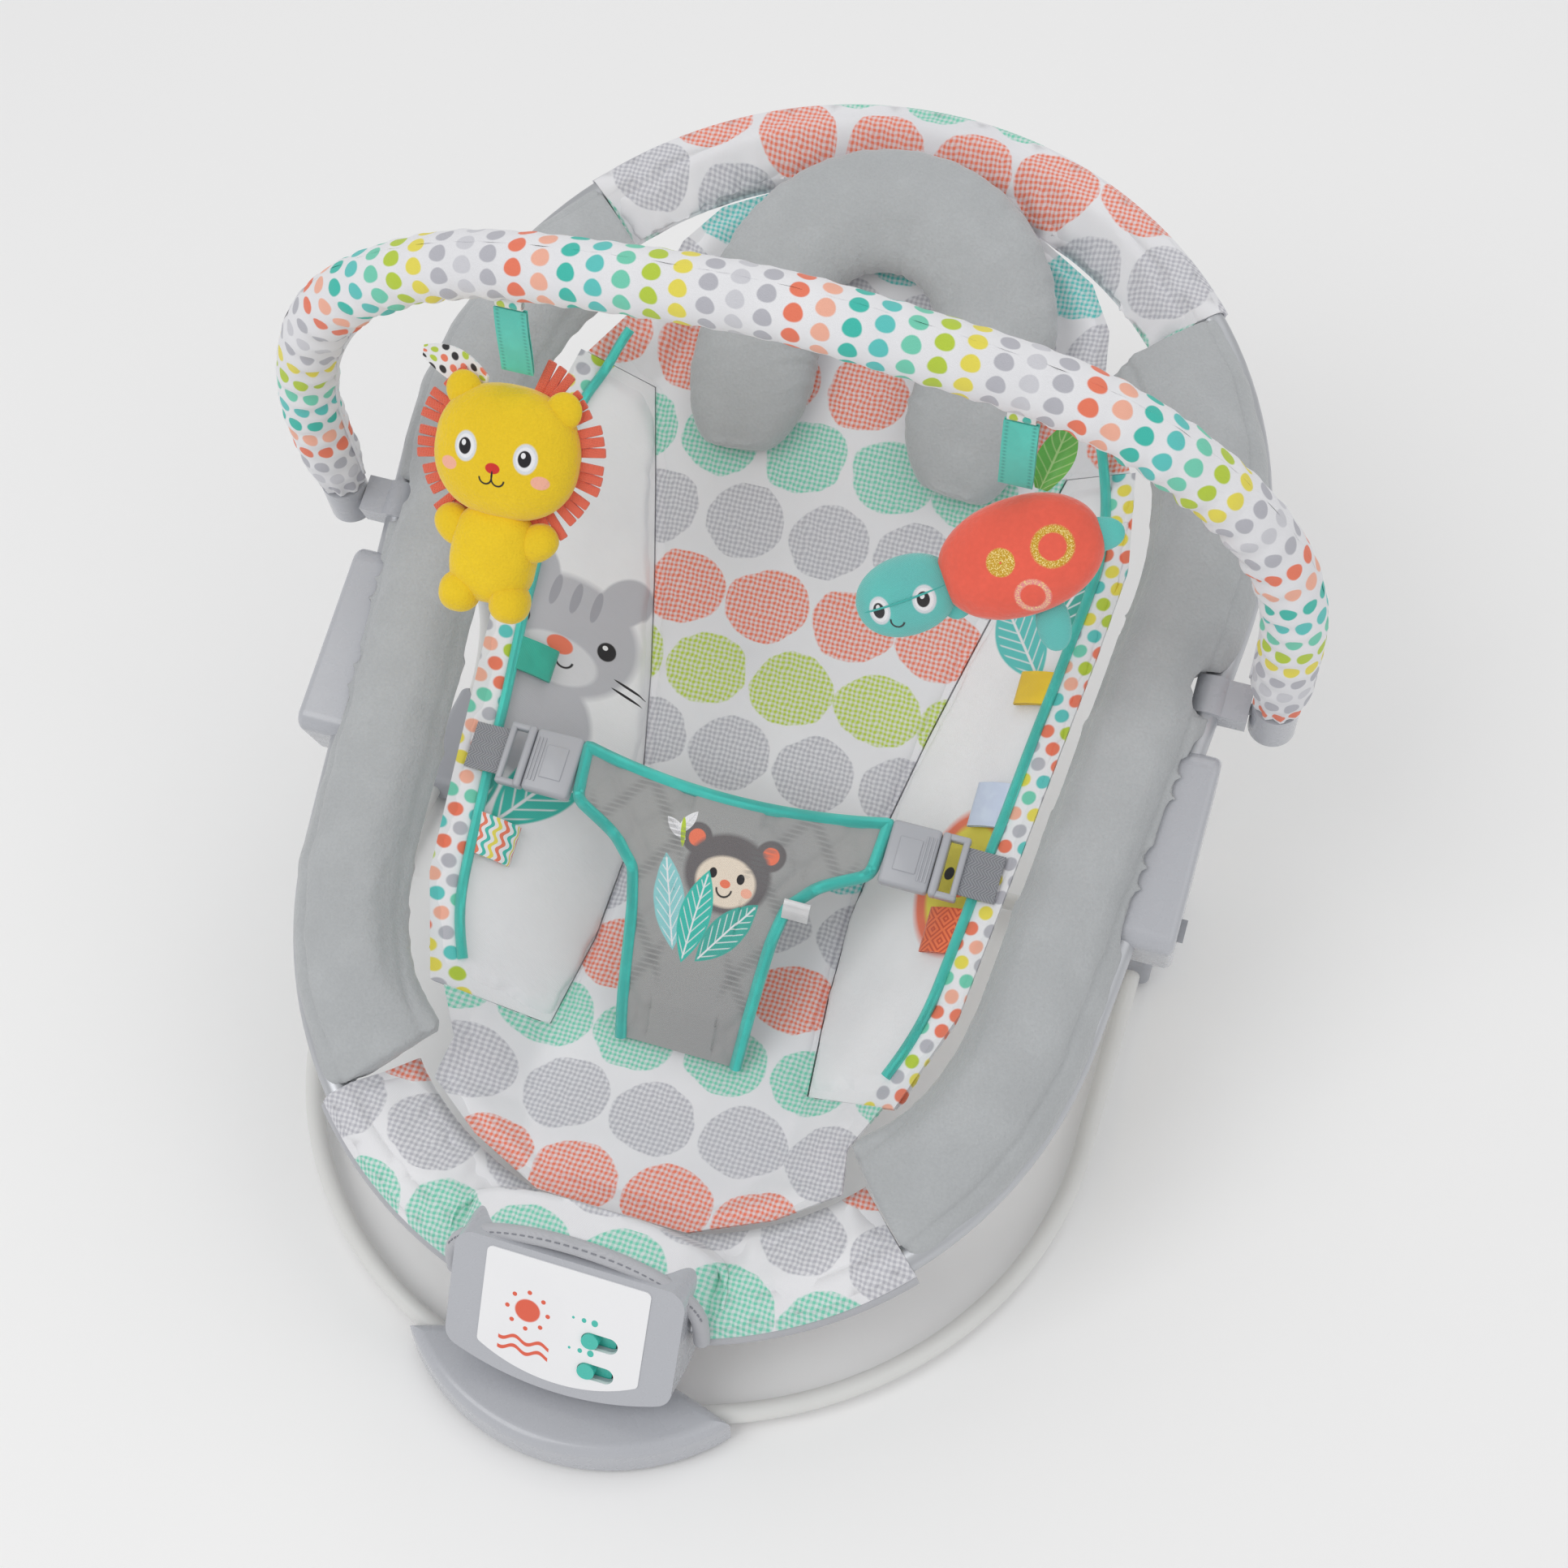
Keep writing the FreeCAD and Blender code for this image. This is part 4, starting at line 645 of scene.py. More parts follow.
def wing_look():
    """White cloth with a round grey animal and leaves; its dotted border under the piping is added in make_wings.
    """
    look = Look("wing_print", srgb(250, 250, 252), 0.72, Sheen_Weight=0.15)
    plane = look.seat_plane()
    shade_cloth(look)
    fur, stripe, muzzle = srgb(196, 196, 202), srgb(170, 170, 178), srgb(226, 226, 230)
    face_x, face_y = -0.122, 0.098
    for side in (-1, 1):
        look.paint(look.oval(plane, face_x + side * 0.022, face_y + 0.031, 0.011, 0.016, -side * 0.5), fur)
    look.paint(look.oval(plane, face_x, face_y, 0.036, 0.033), fur)
    look.paint(look.oval(plane, face_x + 0.002, face_y - 0.052, 0.024, 0.030), fur)
    for step in (-1, 0, 1):
        look.paint(look.oval(plane, face_x + step * 0.010, face_y + 0.022, 0.0022, 0.009), stripe)
    look.paint(look.oval(plane, face_x, face_y - 0.014, 0.020, 0.013), muzzle)
    for side in (-1, 1):
        eye = face_x + side * 0.021
        look.paint(look.oval(plane, eye, face_y + 0.001, 0.0045, 0.0052), INK)
        look.paint(look.oval(plane, eye - 0.0012, face_y + 0.0028, 0.0013, 0.0013), WHITE)
        for rank in (0, 1):
            whisker = look.oval(plane, face_x + side * 0.036, face_y - 0.013 - rank * 0.005, 0.008, 0.0007,
                                -side * 0.2)
            look.paint(whisker, INK)
        look.paint(look.arc(plane, face_x + side * 0.004, face_y - 0.013, 0.0045, 0.0011, False), INK)
    look.paint(look.oval(plane, face_x, face_y - 0.006, 0.0062, 0.0048), CORAL)
    look.leaf(plane, -0.142, 0.020, 0.014, 0.038, 0.25, LEAF_TEAL, WHITE)
    look.leaf(plane, -0.108, 0.016, 0.014, 0.036, -0.5, TEAL, WHITE)
    look.leaf(plane, 0.142, 0.186, 0.016, 0.036, -0.35, LEAF_TEAL, WHITE)
    look.leaf(plane, 0.118, 0.158, 0.013, 0.030, 0.6, AQUA, WHITE)
    warm_x, warm_y = 0.124, 0.020
    look.paint(look.oval(plane, warm_x, warm_y, 0.024, 0.040), CORAL)
    look.paint(look.oval(plane, warm_x, warm_y, 0.018, 0.033), YELLOW)
    for side in (-1, 1):
        look.paint(look.oval(plane, warm_x + side * 0.008, warm_y + 0.004, 0.0028, 0.0036), INK)
    look.paint(look.oval(plane, warm_x, warm_y - 0.006, 0.0036, 0.0028), CORAL)
    add_weave(look, plane, 0.0007, 0.00006)
    return look


def plain_cloth(name, colour, pitch=0.0008, depth=0.00008, roughness=0.7, sheen=0.2):
    look = Look(name, colour, roughness, Sheen_Weight=sheen)
    x, y, z = look.split(look.place)
    turn = 2 * math.pi / pitch
    threads = [look.math("SINE", look.math("MULTIPLY", part, turn)) for part in (x, y, z)]
    crossed = look.math("MULTIPLY", look.math("MULTIPLY", threads[0], threads[1]), threads[2])
    look.raise_by(crossed, depth)
    dark = tuple(channel * 0.82 for channel in colour[:3]) + (1,)
    look.paint(look.span(look.noise(look.place, 30.0, 3.0), 0.4, 0.75, 0.0, 0.25), dark)
    return look


def satin(name, colour):
    """Smooth ribbon with fine ribs along its length."""
    look = Look(name, colour, 0.32, Sheen_Weight=0.3, Anisotropic=0.5)
    plane = look.node("ShaderNodeTexCoord", {}, "UV")
    x, y = look.split(plane)[:2]
    look.raise_by(look.stripes(y, 0.0006, 0.5), 0.00005)
    light = tuple(min(channel * 1.25, 1) for channel in colour[:3]) + (1,)
    look.paint(look.span(look.noise(look.place, 80.0), 0.45, 0.7, 0.0, 0.5), light)
    return look, plane


def moulded(name, colour, roughness, coat, grain=0.00002, scale=900.0):
    """Moulded plastic with a fine skin and a little handling wear."""
    look = Look(name, colour, roughness, Coat_Weight=coat, Coat_Roughness=0.12)
    look.raise_by(look.noise(look.place, scale, 2.0), grain)
    dark = tuple(channel * 0.9 for channel in colour[:3]) + (1,)
    look.paint(look.span(look.noise(look.place, 24.0, 4.0), 0.45, 0.8, 0.0, 0.3), dark)
    scuff = look.span(look.noise(look.place, 130.0, 5.0), 0.4, 0.8, roughness, roughness + 0.15)
    look.feed(look.shader.inputs["Roughness"], scuff)
    return look.done()


def metal(name, colour, roughness, metallic, scale=600.0, grain=0.00003):
    look = Look(name, colour, roughness, Metallic=metallic)
    look.raise_by(look.noise(look.place, scale, 3.0), grain)
    wear = look.span(look.noise(look.place, 60.0, 4.0), 0.4, 0.8, roughness, roughness + 0.2)
    look.feed(look.shader.inputs["Roughness"], wear)
    dark = tuple(channel * 0.85 for channel in colour[:3]) + (1,)
    look.paint(look.span(look.noise(look.place, 18.0, 3.0), 0.45, 0.8, 0.0, 0.3), dark)
    return look.done()


# ---------------------------------------------------------------- camera, floor and light

def make_stage():
    scene = bpy.context.scene
    floor_half = 3.0
    bpy.ops.object.select_all(action="DESELECT")
    bpy.ops.mesh.primitive_plane_add(size=2 * floor_half)
    floor = new_object()
    floor.name = "floor"
    paper = Look("pale_floor", srgb(250, 250, 250), 0.9)
    paper.paint(paper.span(paper.noise(paper.place, 3.0), 0.4, 0.7, 0.0, 0.1), srgb(244, 244, 246))
    floor.data.materials.append(paper.done())
    world = bpy.data.worlds.new("studio")
    world.use_nodes = True
    world.node_tree.nodes["Background"].inputs["Color"].default_value = (1, 1, 1, 1)
    world.node_tree.nodes["Background"].inputs["Strength"].default_value = 0.62
    scene.world = world
    scene.view_settings.view_transform = "Standard"


def add_lamp(name, place, target, size, power):
    light = bpy.data.lights.new(name, "AREA")
    light.size = size
    light.energy = power
    lamp = bpy.data.objects.new(name, light)
    bpy.context.scene.collection.objects.link(lamp)
    lamp.location = place
    lamp.rotation_euler = (Vector(target) - Vector(place)).to_track_quat("-Z", "Y").to_euler()


def make_camera():
    view = bpy.data.cameras.new("camera")
    view.lens, view.sensor_width = 54.0, 36.0
    camera = bpy.data.objects.new("camera", view)
    bpy.context.scene.collection.objects.link(camera)
    camera.location = (0.254, -0.728, 1.132)
    camera.rotation_euler = Vector((-0.1894, 0.5829, -0.7902)).to_track_quat("-Z", "Y").to_euler()
    bpy.context.scene.camera = camera


# ---------------------------------------------------------------- moulded and metal parts

def panel_look():
    """The sound unit's white face: a coral sun over waves, and dots that grow beside each switch."""
    look = Look("white_face_panel", srgb(246, 246, 248), 0.18, Coat_Weight=0.5, Coat_Roughness=0.1)
    x, y, z = look.split(look.place)
    plane = look.flat(x, z)
    look.raise_by(look.noise(look.place, 900.0), 0.000008)
    look.paint(look.span(look.noise(look.place, 24.0), 0.45, 0.8, 0.0, 0.2), srgb(232, 233, 238))
    red = srgb(232, 92, 60)
    sun_x, sun_z = -18 * MM, 74 * MM
    look.paint(look.oval(plane, sun_x, sun_z, 6.5 * MM, 5.7 * MM), red)
    for ray in range(8):
        angle = math.pi * ray / 4
        ray_x, ray_z = sun_x + 10.5 * MM * math.cos(angle), sun_z + 9.3 * MM * math.sin(angle)
        look.paint(look.oval(plane, ray_x, ray_z, 1.2 * MM, 1.1 * MM), red)
    for row in (0, 1):
        centre = 58 * MM - row * 5 * MM
        bend = look.math("MULTIPLY", look.math("SINE", look.math("MULTIPLY", x, 480.0)), 1.3 * MM)
        gap = look.math("ABSOLUTE", look.math("SUBTRACT", look.math("SUBTRACT", z, centre), bend))
        line = look.span(gap, 0.8 * MM, 1.1 * MM, 1.0, 0.0)
        span = look.span(look.math("ABSOLUTE", look.math("SUBTRACT", x, sun_x)), 13 * MM, 13.4 * MM, 1.0, 0.0)
        look.paint(look.math("MULTIPLY", line, span), red)
    for node in ("volume_switch", "vibration_switch"):
        low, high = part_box(node)
        row = high.z + 5.0 * MM
        for step in range(3):
            size = (0.7 + 0.5 * step) * MM
            look.paint(look.oval(plane, low.x + (2 + 5.5 * step) * MM, row, size, size), TEAL)
    return look.done()


def dress_frame():
    """Gives every carried-over CAD part its material."""
    looks = {
        "coated_wire": metal("white_powder_coat", srgb(226, 226, 224), 0.32, 0.0, 1400.0, 0.00004),
        "tube_steel": metal("zinc_tube", srgb(196, 198, 202), 0.35, 0.85),
        "grey_gloss": moulded("grey_gloss_plastic", BODY_GREY, 0.24, 0.35),
        "grey_matte": moulded("grey_matte_plastic", srgb(170, 172, 178), 0.45, 0.05, 0.00003),
        "rubber_pad": moulded("dark_rubber", srgb(58, 58, 60), 0.8, 0.0, 0.00006),
        "panel_white": panel_look(),
        "teal_plastic": moulded("teal_gloss_plastic", TEAL, 0.22, 0.5, 0.00001),
        "screw_steel": metal("screw_zinc", srgb(170, 172, 176), 0.3, 0.9),
        "cell_wrap": moulded("cell_wrap", srgb(50, 52, 60), 0.3, 0.3),
        "board_green": moulded("board_lacquer", srgb(40, 100, 66), 0.35, 0.2),
        "speaker_black": moulded("speaker_paper", srgb(40, 40, 42), 0.8, 0.0, 0.00008),
        "motor_steel": metal("motor_can", srgb(178, 180, 184), 0.3, 0.9),
    }
    for row in frame["record"]["subparts"]:
        if row.get("material_slot") in looks:
            obj = nodes[row["node"]]
            obj.data.materials.clear()
            obj.data.materials.append(looks[row["material_slot"]])


# ---------------------------------------------------------------- seat padding

BACK_SEAM = math.acos(148 / 228)
FRONT_SEAM = math.acos(142 / 207)


def flatten_ends(roll):
    """Lets a roll sink towards the flatter bands where it is sewn to them."""
    points = points_of(roll)
    x, along, out = to_seat(points)
    back = (np.arctan2(np.abs(x), along - BACK_ARC) - BACK_SEAM) * BACK_RADIUS * 0.9
    front = (np.arctan2(np.abs(x), FRONT_ARC - along) - FRONT_SEAM) * FRONT_RADIUS * 0.9
    reach = np.clip(np.minimum(back, front) / (60 * MM), 0, 1)
    swell = 0.42 + 0.58 * reach * reach * (3 - 2 * reach)
    drop = np.where(out > 4 * MM, (out - 4 * MM) * (swell - 1), 0)
    set_points(roll, points + drop[:, None] * np.array(OUT))


def make_bolsters():
    """The long plush rolls round both sides, with the stitched tube pocket along each edge."""
    material = plush("grey_minky", PLUSH_GREY).done()

    def relief(x, along, out, up):
        inset = rim_inset(x, along)
        seams = ridge(inset, 4 * MM, 1.6 * MM) + 0.8 * ridge(inset, 53 * MM, 1.8 * MM)
        near = ridge(inset, 4 * MM, 14 * MM) + ridge(inset, 53 * MM, 16 * MM)
        return np.where(up > 0.1, -1.9 * MM * seams + 0.9 * MM * near * waves(along, inset, 34 * MM), 0)

    right = padded_copy("right_bolster", 5 * MM, 1.2 * MM, 4 * MM)
    displace(right, relief)
    flatten_ends(right)
    left = duplicate(right, mirror=True)
    finish_piece(right, "right_side_roll", material, "seat", ["right_bolster"])
    finish_piece(left, "left_side_roll", material, "seat", ["left_bolster"])
    return [left, right]


def pleats(x, along, inset, inner):
    """Gathers that run across a band from its two seams."""
    turn = np.arctan2(x, np.abs(along - 0.08) + 0.02)
    near = ridge(inset, inner, 15 * MM) + 0.7 * ridge(inset, -4 * MM, 8 * MM)
    return near * waves(turn * 0.22, inset, 13 * MM)


def make_bands():
    """The dotted hood at the head and the dotted apron under the feet."""
    rows = [MINT, PRINT_GREY, CORAL]
    apron_look = big_dot_look("apron_print", rows, -0.238).done()
    hood_look = big_dot_look("hood_print", [MINT, PRINT_GREY, CORAL], 0.298).done()
    hood = padded_copy("head_band", 4.5 * MM, 0.8 * MM, 4 * MM)

    def hood_relief(x, along, out, up):
        return 1.1 * MM * pleats(x, along, rim_inset(x, along), 30 * MM)

    def apron_relief(x, along, out, up):
        inset = rim_inset(x, along)
        return 1.7 * MM * pleats(x, along, inset, 34 * MM) + 0.8 * MM * waves(x, along, 46 * MM)

    displace(hood, hood_relief)
    hood = with_shell(hood, "head_band")
    apron = padded_copy("front_apron", 4.5 * MM, 0.8 * MM, 4 * MM)
    displace(apron, apron_relief)
    apron = with_shell(apron, "front_apron")
    finish_piece(hood, "dotted_hood", hood_look, "seat", ["head_band"])
    finish_piece(apron, "dotted_apron", apron_look, "seat", ["front_apron"])
    return apron, apron_look


def make_lining():
    """The deep centre strip of the seat and its shell."""
    rows = [CORAL, PRINT_GREY, MINT, CORAL, PRINT_GREY, AQUA, PRINT_GREY, LIME]
    look = big_dot_look("lining_print", rows, -0.199)
    lining = padded_copy("seat_pad", 4 * MM, 0.3 * MM, 2.5 * MM)

    def relief(x, along, out, up):
        return 0.7 * MM + 0.9 * MM * waves(along, x, 62 * MM) * ridge(x, 0, 0.09)

    displace(lining, relief)
    lining = with_shell(lining, "seat_pad")
    finish_piece(lining, "seat_lining", look.done(), "seat", ["seat_pad"])
    return lining


BORDER_IN = 78 * MM


def make_wings():
    """The printed side panels, each with a border of small dots outside its piping."""
    look = wing_look()
    plane = look.node("ShaderNodeTexCoord", {}, "UV")
    inset = look.split(plane)[0]
    border = look.span(inset, BORDER_IN - 0.0004, BORDER_IN + 0.0004, 1.0, 0.0)
    look.paint(border, WHITE)
    mixed = [AQUA, LIME, YELLOW, PRINT_GREY, CORAL, PEACH, MINT]
    small_dots(look, look.seat_plane(), 10.5 * MM, 3.7 * MM, mixed, border)
    material = look.done()

    def relief(x, along, out, up):
        return 0.9 * MM + 1.2 * MM * waves(along, x, 70 * MM) + 0.4 * MM * waves(x, along, 40 * MM)

    pieces = []
    right = padded_copy("right_wing", 3.5 * MM, 0.2 * MM, 2.5 * MM)
    displace(right, relief)
    right = with_shell(right, "right_wing")
    left = duplicate(right, mirror=True)
    for piece, side in ((right, "right"), (left, "left")):
        write_inset_uv(piece)
        finish_piece(piece, side + "_side_panel", material, "seat", [side + "_wing"])
        pieces.append(piece)
    return pieces


def write_inset_uv(obj):
    """A UV map of how far each point lies inside the rim, and where along the seat."""
    x, along = to_seat(points_of(obj))[:2]
    places = np.stack((rim_inset(x, along), along), axis=1)
    layer = obj.data.uv_layers.active or obj.data.uv_layers.new(name="inset")
    corners = np.empty(len(obj.data.loops), dtype=np.int32)
    obj.data.loops.foreach_get("vertex_index", corners)
    layer.data.foreach_set("uv", places[corners].ravel())


def round_legs(pillow):
    """Narrows the ends of the horseshoe's two legs to a round tip."""
    points = points_of(pillow)
    x, along, out = to_seat(points)
    leg, tip_length = 66 * MM, 48 * MM
    low = along.min()
    near = np.clip(1 - (along - low) / tip_length, 0, 1)
    narrow = np.sqrt(1 - 0.9 * near ** 2.2)
    shift = (np.abs(x) - leg) * (narrow - 1) * np.sign(x)
    floor = np.array([out[np.abs(along - a) < 4 * MM].min() for a in np.linspace(low, low + tip_length, 13)])
    bed = np.interp(along, np.linspace(low, low + tip_length, 13), floor)
    drop = np.where(along < low + tip_length, (out - bed) * (np.sqrt(1 - 0.75 * near ** 2.2) - 1), 0)
    points[:, 0] += shift
    points += drop[:, None] * np.array(OUT)
    set_points(pillow, points)


def make_pillow():
    """The plush horseshoe round the head."""
    look = plush("pillow_minky", PLUSH_GREY)
    pillow = padded_copy("head_pillow", 4.5 * MM, 1.5 * MM, 5 * MM)

    def relief(x, along, out, up):
        turn = np.arctan2(x, along - 0.29)
        reach = np.hypot(x, along - 0.29)
        inner = ridge(reach, 34 * MM, 16 * MM)
        outer = ridge(reach, 101 * MM, 10 * MM)
        return (1.0 * MM * inner + 0.6 * MM * outer) * waves(turn * 0.1, reach, 16 * MM)

    displace(pillow, relief)
    round_legs(pillow)
    finish_piece(pillow, "head_support", look.done(), "seat", ["head_pillow"])
    return pillow


# ---------------------------------------------------------------- trims on the seat

def make_piping(wings):
    """Teal piping down each side panel."""
    look = satin("teal_piping", srgb(72, 214, 200))[0].done()
    top = Surface(wings)
    stations = np.linspace(-88 * MM, 268 * MM, 60)
    for side, name in ((-1, "left"), (1, "right")):
        points = [top.top(side * half_width(along, BORDER_IN), along, 1.6 * MM) for along in stations]
        for repeat in range(4):
            inner = [(a + 2 * b + c) / 4 for a, b, c in zip(points, points[1:], points[2:])]
            points = points[:1] + inner + points[-1:]
        cord = tube(points, 2.8 * MM)
        smooth(cord, 60)
        finish_piece(cord, name + "_piping", look, "seat")


def make_apron_binding():
    """The grey bound edge under the front of the apron, on both sides of the sound unit."""
    look = plain_cloth("grey_binding", srgb(186, 187, 192)).done()
    radius, reach = 4.2 * MM, FRONT_RADIUS + 8.5 * MM
    for side, name in ((-1, "left"), (1, "right")):
        points = []
        for turn in np.linspace(17.5, 46.5, 24):
            angle = math.radians(turn)
            x, along = side * reach * math.sin(angle), FRONT_ARC - reach * math.cos(angle)
            points.append(seat(x, along, -5 * MM))
        cord = tube(points, radius)
        smooth(cord, 60)
        finish_piece(cord, name + "_apron_binding", look, "seat")


def make_console_hood(apron, apron_look):
    """The hood of the apron over the top of the sound unit, with its stitched grey arch."""
    look = plain_cloth("grey_hood_cloth", srgb(190, 191, 196)).done()
    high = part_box("console_front_shell")[1]
    half, base, peak = high.x + 6 * MM, high.z - 44 * MM, high.z + 2.5 * MM
    back = high.y - 4 * MM
    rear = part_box("console_back_shell")[1].y + 3 * MM
    top = Surface([apron])
    count = 48

    def arch(share):
        angle = math.pi * share
        lift = math.sin(angle) ** 0.55
        return Vector((half * math.cos(angle), back + 7 * MM * math.sin(angle), base + (peak - base) * lift))

    def on_apron(share):
        angle = math.pi * share
        x = 1.10 * half * math.cos(angle)
        rim = FRONT_ARC - math.sqrt(FRONT_RADIUS ** 2 - x ** 2)
        return top.top(x, rim + 4 * MM + 42 * MM * math.sin(angle) ** 0.7, 0.8 * MM)

    def cloth(u, v):
        edge = arch(u)
        corner = Vector((edge.x, rear, edge.z))
        place = edge.lerp(corner, 2 * v) if v < 0.5 else corner.lerp(on_apron(u), 2 * v - 1)
        return place + OUT * 0.8 * MM * math.sin(u * 60) * v

    hood = grid(90, 16, cloth)
    apply_modifier(hood, "SOLIDIFY", thickness=1.6 * MM, offset=0)
    smooth(hood, 60)
    finish_piece(hood, "sound_unit_hood", apron_look, "seat")
    path = [arch(share) for share in np.linspace(0, 1, count)]
    band = tube(path, 4.2 * MM, resolution=6)
    smooth(band, 60)
    finish_piece(band, "hood_band", look, "seat")
    thread = plain_cloth("grey_thread", srgb(140, 142, 150), 0.0006).done()
    stitches = []
    middle = Vector((0, back, base))
    for start, end in zip(path[4:-4], path[5:-4]):
        away = ((start - middle).normalized() + Vector((0, -0.8, 0))).normalized() * 4.2 * MM
        stitches.append(tube([start + away, start.lerp(end, 0.3) + away * 1.06, start.lerp(end, 0.6) + away],
                             0.45 * MM, resolution=2))
    row = join("hood_stitches", stitches)
    finish_piece(row, "hood_stitches", thread, "seat")


# half width and height of the crotch panel along the seat, from its root to the waist, in mm
PANEL_STATIONS = np.array([(-100, 34, -54), (-80, 36, -39), (-56, 38, -26), (-36, 40, -16), (-18, 44, -9),
                           (-4, 58, -4), (8, 82, -2), (36, 84, 0)]) * MM
BUCKLE_ALONG = 22 * MM


def panel_at(along):
    half = np.interp(along, PANEL_STATIONS[:, 0], PANEL_STATIONS[:, 1])
    out = np.interp(along, PANEL_STATIONS[:, 0], PANEL_STATIONS[:, 2])
    return half, out


def crotch_look():
    """Grey cloth printed with leaves and a plain round bear."""
    look = Look("crotch_print", PANEL_GREY, 0.7, Sheen_Weight=0.2)
    plane = look.seat_plane()
    x, y = look.split(plane)[:2]
    shade_cloth(look, 0.12, 20.0)
    fur, face = srgb(112, 108, 110), srgb(238, 224, 206)
    centre, middle = 0.008, -0.010
    for side in (-1, 1):
        look.paint(look.oval(plane, centre + side * 0.020, middle + 0.014, 0.008, 0.008), fur)
        look.paint(look.oval(plane, centre + side * 0.020, middle + 0.014, 0.0045, 0.0045), CORAL)
    look.paint(look.oval(plane, centre, middle, 0.023, 0.020), fur)
    look.paint(look.oval(plane, centre, middle - 0.004, 0.016, 0.0125), face)
    for side in (-1, 1):
        look.paint(look.oval(plane, centre + side * 0.0075, middle - 0.001, 0.0021, 0.0026), INK)
        look.paint(look.oval(plane, centre + side * 0.012, middle - 0.007, 0.003, 0.0024), PEACH)
    look.paint(look.oval(plane, centre, middle - 0.005, 0.0028, 0.0021), CORAL)
    look.paint(look.arc(plane, centre, middle - 0.0075, 0.0045, 0.0010, False), INK)
    look.leaf(plane, -0.019, -0.030, 0.0085, 0.024, 0.30, LEAF_PALE, WHITE)
    look.leaf(plane, -0.004, -0.034, 0.0085, 0.024, -0.10, TEAL, WHITE)
    look.leaf(plane, 0.014, -0.038, 0.0085, 0.022, -0.65, LEAF_TEAL, WHITE)
    look.leaf(plane, -0.024, 0.006, 0.0030, 0.008, 0.9, WHITE, PALE_GREY)
    look.leaf(plane, -0.019, 0.010, 0.0030, 0.008, -0.5, WHITE, PALE_GREY)
    look.paint(look.oval(plane, -0.020, 0.005, 0.0013, 0.0075, 0.2), LIME)
    dashes = look.stripes(y, 0.0026, 0.66)
    for slope in (-1, 1):
        slant = look.math("ADD", x, look.math("MULTIPLY", y, slope * 0.75))
        near = look.math("ABSOLUTE", look.math("SUBTRACT", look.math("ABSOLUTE", x), 0.045))
        for shift in (-0.0016, 0.0016):
            thread = look.stripes(look.math("ADD", slant, shift), 0.044, 0.014)
            look.paint(look.math("MULTIPLY", look.math("MULTIPLY", thread, dashes),
                                 look.span(near, 0.026, 0.030, 0.7, 0.0)), srgb(116, 117, 118))
    add_weave(look, plane, 0.0009, 0.00008)
    return look.done()


def make_crotch_panel():
    """The quilted panel between the legs, with its teal binding and a blank tag."""
    first, last = PANEL_STATIONS[0, 0], PANEL_STATIONS[-1, 0]

    def place(u, v):
        along = first + (last - first) * v
        half, out = panel_at(along)
        x = (2 * u - 1) * (half - 1.5 * MM)
        dip = 9 * MM * (1 - (2 * u - 1) ** 2) * max(0, v - 0.72) / 0.28
        edge = 1 - (2 * u - 1) ** 6
        slope = [(x + sign * along * 0.75) / 0.044 for sign in (-1, 1)]
        seams = sum(math.exp(-((value - round(value)) / 0.07) ** 2) for value in slope)
        puff = edge * (1.4 * MM - 1.7 * MM * min(seams, 1) * (abs(x) > 18 * MM))
        return seat(x, along - dip, out - 2.0 * MM + puff)

    panel = grid(110, 110, place)
    fold = normals_of(panel).mean(axis=0) @ np.array(OUT)
    if fold < 0:
        edit(panel, lambda: bpy.ops.mesh.flip_normals())
    apply_modifier(panel, "SOLIDIFY", thickness=4.6 * MM, offset=-1)
    smooth(panel, 60)
    finish_piece(panel, "leg_panel", crotch_look(), "seat", ["crotch_panel"])

    edge_look = satin("teal_binding", srgb(66, 210, 198))[0].done()
    border = []
    for along in np.linspace(first, last, 34):
        half, out = panel_at(along)
        border.append((-(half - 2 * MM), along, out))
    top = [(v * 82 * MM, last - 9 * MM * (1 - v ** 2), 0.0) for v in 2 * np.linspace(0, 1, 24) - 1]
    path = border + top + [(-x, along, out) for x, along, out in reversed(border)]
    binding = tube([seat(x, along, out - 2.4 * MM) for x, along, out in path], 3.3 * MM)
    smooth(binding, 60)
    finish_piece(binding, "leg_panel_binding", edge_look, "seat")
    make_tag()


def make_tag():
    """A small blank white label standing out from the panel's upper edge."""
    look = satin("white_label", srgb(240, 240, 242))[0].done()

    def place(u, v):
        lift = 5 * MM * math.sin(v * math.pi * 0.5)
        return seat((41 + 14 * u) * MM, (-24 + 9 * v) * MM, -9 * MM + lift)

    tag = grid(12, 10, place)
    apply_modifier(tag, "SOLIDIFY", thickness=0.7 * MM, offset=0)
    smooth(tag)
    finish_piece(tag, "blank_label", look, "seat")


def webbing_look():
    """Silver-grey herringbone webbing."""
    look = Look("herringbone_webbing", srgb(158, 160, 166), 0.6, Sheen_Weight=0.2)
    plane = look.node("ShaderNodeTexCoord", {}, "UV")
    x, y = look.split(plane)[:2]
    zig = look.math("PINGPONG", x, 0.0031)
    lines = look.stripes(look.math("ADD", y, zig), 0.0017, 0.5)
    look.paint(look.math("MULTIPLY", lines, 0.55), srgb(104, 106, 112))
    look.raise_by(lines, 0.00025)
    return look.done()


